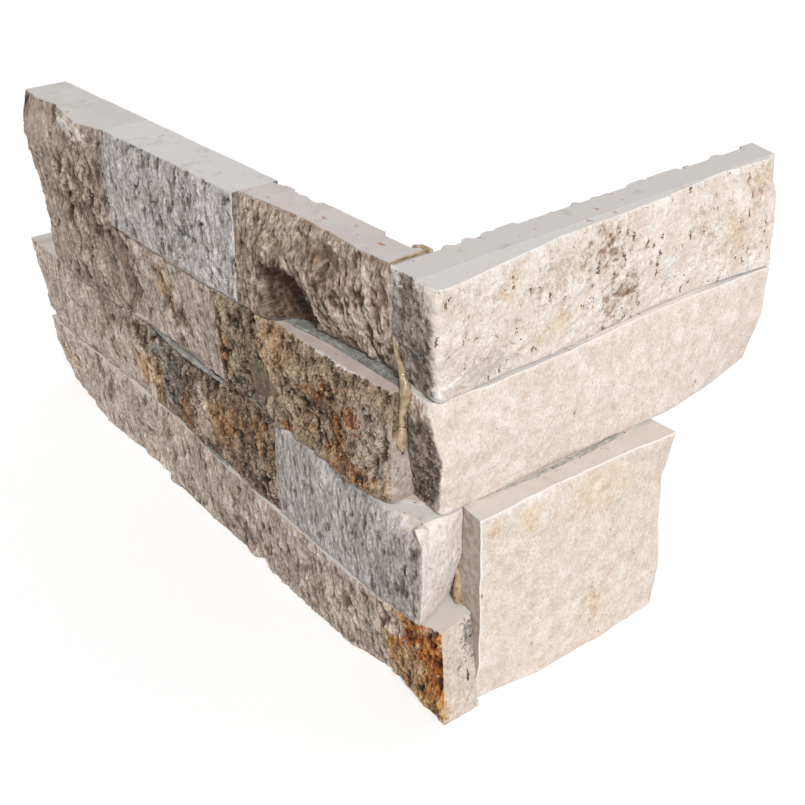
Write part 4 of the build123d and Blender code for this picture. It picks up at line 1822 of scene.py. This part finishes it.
@dataclass
class ThirdCourse(StoneCourse):
    """Pale stone, dark rusty stone and the grey stone that shows its end at the corner."""

    def left_stone(self) -> SplitStone:
        """Pale stone that stands out past the tall stone.

        Returns:
            The stone.
        """
        finish = replace(SPLIT_BEIGE, seed=71.0, sawn=tone(204, 195, 188), stains=(
            Stain((-205, -20, 58), (16, 12, 14), UMBER, 0.3, 0.9, 5.0),
            Stain((-190, -20, 72), (13, 12, 9), UMBER, 0.55, 0.8, 5.0),
            Stain((-169, -20, 71), (9, 12, 9), BARK, 0.95, 0.5, 4.0),
            Stain((-170, -20, 52), (8, 12, 9), OCHRE, 0.8, 0.8, 3.0),
            Stain((-180, -20, 50), (7, 12, 9), BLUSH, 0.6, 0.5, 4.0),
        ))
        relief = Relief(
            lump_height=0.7, scoop_height=1.5, scoop_size=5.2, pit_size=3.2, pit_cover=0.14,
            grain_height=0.32, grain_size=1.8, seed=71.0,
        )
        return self.strip("third_left_stone", finish, relief)

    def rusty_stone(self) -> SplitStone:
        """Dark stone with rust and soot in its pores.

        Returns:
            The stone.
        """
        finish = replace(SPLIT_RUST, seed=82.0, deep=tone(92, 72, 57), middle=tone(128, 107, 90), stains=(
            Stain((-148, -19, 60), (16, 12, 17), SLATE, 0.8, 0.8, 4.0),
            Stain((-138, -19, 60), (12, 12, 15), SOOT, 0.85, 1.0, 2.6),
            Stain((-88, -19, 66), (17, 12, 9), BARK, 0.6, 1.0, 3.0),
            Stain((-128, -19, 66), (9, 12, 9), BARK, 0.6, 1.0, 3.0),
            Stain((-158, -19, 52), (6, 12, 10), OCHRE, 0.6, 0.8, 2.4),
            Stain((-131, -19, 48), (8, 12, 7), RUST, 0.75, 1.0, 2.0),
            Stain((-116, -19, 54), (9, 14, 13), BLUSH, 0.9, 0.3, 4.0),
            Stain((-101, -20, 58), (10, 12, 9), OCHRE, 0.6, 1.1, 2.0),
            Stain((-100, -20, 71), (12, 12, 5), UMBER, 0.8, 0.9, 2.2),
            Stain((-84, -20, 54), (15, 12, 14), RUST, 0.6, 1.2, 2.4),
            Stain((-79, -20, 50), (13, 12, 12), SOOT, 0.75, 1.2, 2.0),
            Stain((-72, -20, 66), (8, 12, 7), RUST, 0.55, 1.1, 2.0),
        ))
        relief = Relief(
            scoop_height=1.6, upright=1.3, pit_depth=1.3, pit_size=2.2, grain_size=1.3, seed=82.0,
        )
        dents = (Dent((-91, -20, 72), (4, 12, 3), 1.6, 1.0),)
        return self.strip("third_rusty_stone", finish, relief, dents=dents)

    def grey_corner_stone(self) -> SplitStone:
        """Grey stone with fine upright streaks, and a pale split end.

        Returns:
            The stone.
        """
        finish = replace(
            SPLIT_GREY, seed=93.0, deep=tone(154, 144, 140), middle=tone(181, 171, 167),
            pale=tone(214, 207, 203), grain_size=0.6, upright=2.6, sawn=tone(226, 222, 219),
            crease_depth=0.28,
            stains=(
                Stain((-27, -20, 54), (5, 8, 11), CHALK, 0.3, 0.7, 4.0, Where.FACE),
                Stain((8, -20, 50), (10, 12, 12), SLATE, 0.5, 0.9, 3.0, Where.FACE),
                Stain((20, -8, 58), (16, 22, 30), PLASTER, 0.97, 0.0, 6.0, Where.END),
                Stain((17, -19, 77), (13, 14, 6), CHALK, 0.85, 0.4, 3.0),
            ),
        )
        relief = Relief(
            lump_height=0.35, lump_size=10.0, scoop_height=0.8, scoop_size=2.8, upright=2.6,
            pit_depth=0.35, pit_cover=0.1, grain_height=0.36, grain_size=1.5, seed=93.0,
        )
        dents = (
            Dent((-12, -20, 79), (42, 14, 9), 1.5, 1.0),
            Dent((17, -20, 78), (14, 14, 9), 3.0, 0.4),
        )
        return self.strip(
            "third_grey_corner_stone", finish, relief, split_end=Side.FAR_END, dents=dents,
            rounding=1.2, end_rough=0.3,
        )

    def stones(self) -> list[SplitStone]:
        """List the stones of the third course."""
        return [self.left_stone(), self.rusty_stone(), self.grey_corner_stone()]


@dataclass
class BottomCourse(StoneCourse):
    """Three beige stones and the short orange stone at the corner."""

    notch: float = 3.0

    def left_stone(self) -> SplitStone:
        """Stone at the free end, with a little rust.

        Returns:
            The stone.
        """
        finish = replace(
            SPLIT_BEIGE, seed=101.0, deep=tone(172, 154, 142), middle=tone(204, 187, 175),
            sawn=tone(220, 213, 207),
            stains=(
                Stain((-258, -20, 22), (12, 12, 6), OCHRE, 0.45, 0.9, 3.0),
                Stain((-182, -20, 24), (12, 12, 13), SLATE, 0.5, 0.6, 4.0),
                Stain((-172, -20, 8), (14, 12, 8), BLUSH, 0.7, 0.5, 5.0),
            ),
        )
        relief = Relief(
            lump_height=0.7, scoop_size=5.2, pit_depth=0.7, pit_size=3.2, pit_cover=0.12,
            grain_height=0.32, grain_size=1.8, seed=101.0,
        )
        return self.strip("bottom_left_stone", finish, relief)

    def second_stone(self) -> SplitStone:
        """Second stone of the course.

        Returns:
            The stone.
        """
        finish = replace(
            SPLIT_BEIGE, seed=112.0, deep=tone(150, 131, 117), middle=tone(180, 161, 148),
            sawn=tone(210, 203, 197),
            stains=(Stain((-148, -20, 31), (7, 12, 9), BLUSH, 0.5, 0.5, 4.0),),
        )
        relief = Relief(
            upright=self.upright, pit_size=2.8, pit_cover=0.15, grain_height=0.45, grain_size=2.0,
            seed=112.0,
        )
        dents = (Dent((-85, -20, 3), (4.0, 12, 9), self.notch, 1.0),)
        return self.strip("bottom_second_stone", finish, relief, dents=dents)

    def third_stone(self) -> SplitStone:
        """Third stone of the course, next to the corner stone.

        Returns:
            The stone.
        """
        finish = replace(
            SPLIT_BEIGE, seed=123.0, deep=tone(150, 130, 116), middle=tone(192, 173, 159),
            stains=(
                Stain((-26, -20, 17), (12, 12, 12), BLUSH, 0.6, 0.6, 5.0),
                Stain((-64, -20, 22), (13, 12, 12), SLATE, 0.35, 0.7, 4.0),
            ),
        )
        relief = Relief(
            scoop_size=4.2, upright=self.upright, pit_size=2.8, pit_cover=0.13, grain_height=0.45,
            grain_size=2.0, seed=123.0,
        )
        dents = (Dent((-84, -20, 2), (3.0, 12, 8), self.notch, 1.0),)
        return self.strip("bottom_third_stone", finish, relief, dents=dents)

    def orange_corner_stone(self) -> SplitStone:
        """Short stone with orange crust on its face and a mottled end.

        Returns:
            The stone.
        """
        ember = Crust(tone(96, 46, 18), tone(170, 90, 32), tone(206, 138, 62), 1.6, 2.0)
        gold = Crust(tone(120, 80, 34), tone(182, 132, 62), tone(216, 174, 100), 1.3, 2.2)
        ash = Crust(tone(120, 100, 72), tone(176, 158, 130), tone(212, 198, 176), 1.3, 3.0)
        fog = Crust(tone(158, 153, 148), tone(204, 190, 176), tone(222, 209, 196), 1.2)
        cream = Crust(tone(202, 185, 169), tone(215, 198, 183), tone(228, 215, 203), 2.0)
        gap = Crust(tone(40, 34, 30), tone(64, 54, 46), tone(110, 96, 84), 0.8)
        finish = replace(
            SPLIT_RUST, seed=134.0, middle=tone(204, 176, 140), pale=tone(224, 202, 172),
            sawn=tone(216, 210, 205), worn_arris=0.2, pore_cover=0.2, ridge_light=0.15,
            stains=(
                Stain((12, -19, 18), (16, 12, 22), gold, 0.97, 0.5, 4.0, Where.FACE),
                Stain((14, -19, 28), (13, 12, 9), ember, 0.95, 0.9, 3.0, Where.FACE),
                Stain((21, -19, 20), (4.5, 12, 16), ember, 0.9, 0.8, 2.6, Where.FACE),
                Stain((10, -19, 10), (9, 12, 8), ember, 0.8, 1.2, 2.4, Where.FACE),
                Stain((9, -19, 14), (7, 12, 12), ash, 0.6, 1.2, 2.4, Where.FACE),
                Stain((0, -20, 31), (8, 12, 7), BLUSH, 0.97, 0.25, 4.0, Where.FACE),
                Stain((25.5, -7, 19), (30, 30, 40), cream, 1.0, 0.0, 6.0, Where.END),
                Stain((25, -7, 18), (30, 11, 20), fog, 0.6, 1.0, 2.4, Where.END),
                Stain((25, -3, 29), (30, 3.6, 8), SLATE, 0.85, 1.0, 1.4, Where.END),
                Stain((25, -17, 8), (30, 2.4, 12), gold, 0.6, 1.0, 1.4, Where.END),
                Stain((25, -5.4, 14.5), (30, 0.5, 3.0), gap, 0.9, 0.5, 1.2, Where.END),
            ),
        )
        relief = Relief(
            lump_size=7.0, scoop_height=1.5, scoop_size=3.4, upright=2.2, pit_depth=1.0, pit_size=2.4,
            pit_cover=0.14, grain_height=0.6, seed=134.0,
        )
        return self.strip(
            "bottom_orange_corner_stone", finish, relief, split_end=Side.FAR_END, rounding=1.0,
            end_rough=0.2,
        )

    def stones(self) -> list[SplitStone]:
        """List the stones of the bottom course."""
        return [self.left_stone(), self.second_stone(), self.third_stone(), self.orange_corner_stone()]


@dataclass
class ReturnStone(StoneCourse):
    """The tall cream stone of the return leg."""

    def stones(self) -> list[SplitStone]:
        """List the tall stone, the only one.

        Returns:
            The stone, in a list.
        """
        finish = replace(
            SPLIT_CREAM, seed=144.0, end=tone(172, 155, 144), sawn=tone(220, 211, 202), worn_arris=0.9,
            deep=tone(208, 192, 179), middle=tone(221, 207, 195), pale=tone(234, 224, 215),
            stains=(
                Stain((28, 46, 20), (8, 3, 8), OCHRE, 0.45, 1.0, 2.4),
                Stain((27, 17, 69), (8, 5, 5), HONEY, 0.6, 1.0, 2.0),
                Stain((27, 3, 71), (8, 3, 3), OCHRE, 0.4, 1.2, 1.6),
                Stain((27, 14, 75.5), (8, 18, 2.4), PLASTER, 0.9, 1.0, 2.4),
                Stain((27, 48, 66), (8, 16, 9), HONEY, 0.35, 1.2, 3.0),
            ),
        )
        relief = Relief(
            lump_height=0.5, lump_size=11.0, scoop_height=0.16, scoop_size=4.6, upright=1.0,
            pit_depth=0.25, pit_cover=0.02, grain_height=0.18, grain_size=1.1, seed=144.0,
        )
        return [SplitStone("return_tall_stone", Leg.RETURN, finish, relief, arris_width=0.9, arris_round=0.6)]


@dataclass
class GlueRun:
    """Beads of glue; each kind lists its own."""

    def beads(self) -> list[GlueBead]:
        """List the beads."""
        raise NotImplementedError

    def run(self, tree: Tree, materials: dict[GlueFinish, bpy.types.Material]) -> list[Piece]:
        """Build every bead.

        Args:
            tree: the bead tree.
            materials: the material of each finish.

        Returns:
            The finished beads.
        """
        made = []
        for bead in self.beads():
            made.append(bead.build(tree, materials[bead.finish]))
            LOG.info("%s: %d faces", bead.name, len(made[-1].data.polygons))
        return made


@dataclass
class BedGlue(GlueRun):
    """The layers of adhesive in the beds and what squeezed out of them."""

    layers: dict[str, GlueFinish] = field(default_factory=lambda: {
        "upper_bed_adhesive": ADHESIVE,
        "middle_bed_adhesive": DUSTY_ADHESIVE,
        "lower_bed_adhesive": DUSTY_ADHESIVE,
    })
    upper_bed: float = 114.6
    middle_bed: float = 76.3
    lower_bed: float = 37.9

    def beads(self) -> list[GlueBead]:
        """List the beads that squeezed out of the beds.

        Returns:
            The beads.
        """
        upper, middle, lower = self.upper_bed, self.middle_bed, self.lower_bed
        return [
            GlueBead(
                "upper_squeeze",
                ((-52, -14.0, upper), (-44, -12.6, upper), (-30, -11.0, upper), (-14, -10.6, upper),
                 (2, -10.4, upper)),
                (0.4, 0.8, 1.1, 0.8, 0.8), 0.9, 0.75, ADHESIVE, 0.4, 1.6, seed=5.0,
            ),
            GlueBead(
                "middle_squeeze",
                ((-158, -17.6, middle - 0.6), (-140, -18.8, middle - 1.0), (-118, -19.2, middle - 0.8),
                 (-98, -19.4, middle - 0.4)),
                (0.5, 1.1, 1.0, 0.4), 0.9, 1.3, ADHESIVE, 0.4, 2.4, seed=15.0,
            ),
            GlueBead(
                "middle_corner_squeeze",
                ((-36, -18.2, middle), (-28, -18.6, middle - 0.2), (-20, -18, middle)),
                (0.4, 0.9, 0.4), 1.0, 0.8, ADHESIVE, 0.3, 2.6, seed=25.0,
            ),
            GlueBead(
                "return_squeeze",
                ((18.0, 10, middle), (19.4, 26, middle), (20.2, 46, middle), (19.8, 62, middle),
                 (16, 75, middle)),
                (0.4, 0.8, 1.1, 0.9, 0.4), 1.2, 0.6, GREEN_ADHESIVE, 0.35, 2.4, seed=35.0,
            ),
            GlueBead(
                "lower_left_squeeze",
                ((-126, -19.0, lower), (-112, -19.8, lower - 0.2), (-98, -19.5, lower)),
                (0.4, 1.0, 0.5), 1.1, 0.9, ADHESIVE, 0.3, 2.6, seed=45.0,
            ),
            GlueBead(
                "lower_right_squeeze",
                ((-92, -19.8, lower), (-84, -20.4, lower - 0.1), (-74, -19.8, lower)),
                (0.4, 0.9, 0.4), 1.1, 0.9, ADHESIVE, 0.3, 2.2, seed=55.0,
            ),
        ]

    def build(self, tree: Tree, effects: Effects) -> list[Piece]:
        """Dress the layers and build the beads.

        Args:
            tree: the bead tree.
            effects: the shared shader groups.

        Returns:
            The beads.
        """
        materials = {
            ADHESIVE: ADHESIVE.material("blue grey adhesive", effects),
            DUSTY_ADHESIVE: DUSTY_ADHESIVE.material("dusty adhesive", effects),
            GREEN_ADHESIVE: GREEN_ADHESIVE.material("grey green adhesive", effects),
        }
        for name, finish in self.layers.items():
            dress_node(name, materials[finish])
            LOG.info("%s: dressed", name)
        return self.run(tree, materials)


@dataclass
class CornerResin(GlueRun):
    """The yellowish resin that holds the corner joints."""

    groove_x: float = 3.2
    groove_y: float = -13.2
    top: float = 152.4

    def beads(self) -> list[GlueBead]:
        """List the beads of resin.

        Returns:
            The beads.
        """
        x, y = self.groove_x, self.groove_y
        return [
            GlueBead(
                "corner_resin",
                ((x + 0.6, y - 0.4, 94.5), (x + 0.3, y - 0.8, 96.5), (x, y - 0.2, 99),
                 (x - 0.2, y + 0.2, 102.5), (x, y - 0.2, 106), (x + 0.8, y + 0.6, 109.5),
                 (x + 0.8, y + 1.0, 113), (x + 0.2, y + 1.4, 116), (x - 2.2, y + 2.2, 120),
                 (x - 2.8, y + 0.8, 126), (x - 2.6, y + 0.2, 131)),
                (0.6, 2.1, 2.0, 1.1, 1.0, 1.5, 2.1, 1.6, 1.0, 0.6, 0.3), 0.9, 0.9, RESIN, 0.3, 3.0,
                seed=65.0, replaces=("corner_resin_bead",),
            ),
            GlueBead(
                "return_resin",
                ((14.6, -1.6, 38.4), (14.4, -1.9, 41), (13.6, -1.6, 45), (12.8, -1.0, 50)),
                (2.4, 2.0, 1.5, 0.8), 0.8, 0.8, RESIN, 0.5, 2.6, seed=75.0,
                replaces=("return_resin_lump",),
            ),
            GlueBead(
                "inner_resin",
                ((-6.5, 0.2, self.top - 1.0), (-4, 0.5, self.top - 0.9), (-1.6, 0.9, self.top - 0.9),
                 (-0.3, 2.0, self.top - 1.1)),
                (0.6, 1.2, 1.4, 0.8), 1.0, 1.0, RESIN, 0.5, 1.6, step=0.4, seed=85.0,
                replaces=("inner_resin_bead",),
            ),
            GlueBead(
                "top_joint_resin",
                ((0.1, -12.5, self.top), (0.0, -8, self.top), (0.1, -3, self.top), (-0.4, 0.4, self.top)),
                (0.7, 0.9, 1.0, 1.2), 0.5, 0.3, RESIN, 0.15, 1.2, step=0.4, seed=95.0,
            ),
        ]

    def build(self, tree: Tree, effects: Effects) -> list[Piece]:
        """Build the beads of resin."""
        return self.run(tree, {RESIN: RESIN.material("yellowish resin", effects)})


def dress_node(name: str, material: bpy.types.Material) -> None:
    """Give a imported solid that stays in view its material.

    Args:
        name: the node's name.
        material: its finish.
    """
    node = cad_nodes()[name]
    if not node.material_slots:
        node.data.materials.append(material)
    for slot in node.material_slots:
        slot.material = material


@dataclass
class Studio:
    """Camera, plain pale floor and soft light."""

    camera_place: Point = (218.0, -169.8, 268.4)
    azimuth: float = 53.82
    elevation: float = 30.7
    roll: float = -2.24
    focal_pixels: float = 1086.4
    picture_pixels: float = 805.0
    sensor: float = 36.0
    key_from: Point = (0.72, -0.29, 0.6)
    key_level: float = 0.8
    key_softness: float = 9.0
    sky_level: float = 0.36
    floor_size: float = 12.0
    floor_tone: float = 0.86
    floor_glow: float = 0.3

    def camera(self) -> None:
        """Set the camera where the photograph was taken from."""
        data = bpy.data.cameras.new("camera")
        data.sensor_width = self.sensor
        data.lens = self.focal_pixels / self.picture_pixels * self.sensor
        data.clip_start = 0.01
        data.clip_end = 50.0
        camera = add_object("camera", data)
        turn = Matrix.Rotation(math.radians(self.azimuth), 4, "Z")
        turn @= Matrix.Rotation(math.radians(90 - self.elevation), 4, "X")
        turn @= Matrix.Rotation(math.radians(self.roll), 4, "Z")
        camera.matrix_world = Matrix.Translation(Vector(self.camera_place) * METRES) @ turn
        bpy.context.scene.camera = camera

    def light(self) -> None:
        """Hang the soft key light and set the white surroundings."""
        data = bpy.data.lights.new("key", "SUN")
        data.energy = self.key_level * math.pi
        data.angle = math.radians(self.key_softness)
        lamp = add_object("key", data)
        lamp.rotation_mode = "QUATERNION"
        lamp.rotation_quaternion = Vector(self.key_from).to_track_quat("Z", "Y")
        world = bpy.data.worlds.new("studio")
        world.use_nodes = True
        world.node_tree.nodes.clear()
        bench = Bench(world.node_tree)
        path = bench.lay("ShaderNodeLightPath")
        seen = bench.sum("MAXIMUM", path.outputs["Is Camera Ray"], path.outputs["Is Glossy Ray"])
        seen = bench.sum("MAXIMUM", seen, path.outputs["Is Transmission Ray"])
        strength = bench.between(seen, self.sky_level, 1.0)
        sky = bench.lay("ShaderNodeBackground", {"Color": (1.0, 1.0, 1.0, 1.0), "Strength": strength})
        bench.lay("ShaderNodeOutputWorld", {"Surface": sky.outputs[0]})
        bpy.context.scene.world = world

    def floor(self) -> None:
        """Lay the pale floor, which keeps the object's shadow."""
        half = self.floor_size / 2
        mesh = bpy.data.meshes.new("floor")
        corners = [(-half, -half, 0.0), (half, -half, 0.0), (half, half, 0.0), (-half, half, 0.0)]
        mesh.from_pydata(corners, [], [(0, 1, 2, 3)])
        material = bpy.data.materials.new("pale floor")
        material.use_nodes = True
        material.node_tree.nodes.clear()
        bench = Bench(material.node_tree)
        path = bench.lay("ShaderNodeLightPath")
        tint = (self.floor_tone,) * 3 + (1.0,)
        paint = bench.lay("ShaderNodeBsdfDiffuse", {"Color": tint})
        strength = bench.sum("MULTIPLY", path.outputs["Is Camera Ray"], self.floor_glow)
        glow = bench.lay("ShaderNodeEmission", {"Color": (1.0, 1.0, 1.0, 1.0), "Strength": strength})
        both = bench.lay("ShaderNodeAddShader", {0: paint.outputs[0], 1: glow.outputs[0]})
        bench.lay("ShaderNodeOutputMaterial", {"Surface": both.outputs[0]})
        mesh.materials.append(material)
        floor = add_object("floor", mesh)

    def build(self) -> None:
        """Set up the camera, the light and the floor."""
        self.camera()
        self.light()
        self.floor()
        bpy.context.scene.view_settings.view_transform = "Standard"


def main() -> None:
    """Build the stones course by course, then the glue and the studio."""
    logging.basicConfig(level=logging.INFO, format="%(message)s")
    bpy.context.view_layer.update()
    effects = Effects()
    relief = ReliefBench().build()
    for course in (TopCourse(), SecondCourse(), ThirdCourse(), BottomCourse(), ReturnStone()):
        course.build(relief, effects)
    bead = bead_tree()
    BedGlue().build(bead, effects)
    CornerResin().build(bead, effects)
    Studio().build()


if __name__ == "__main__":
    main()
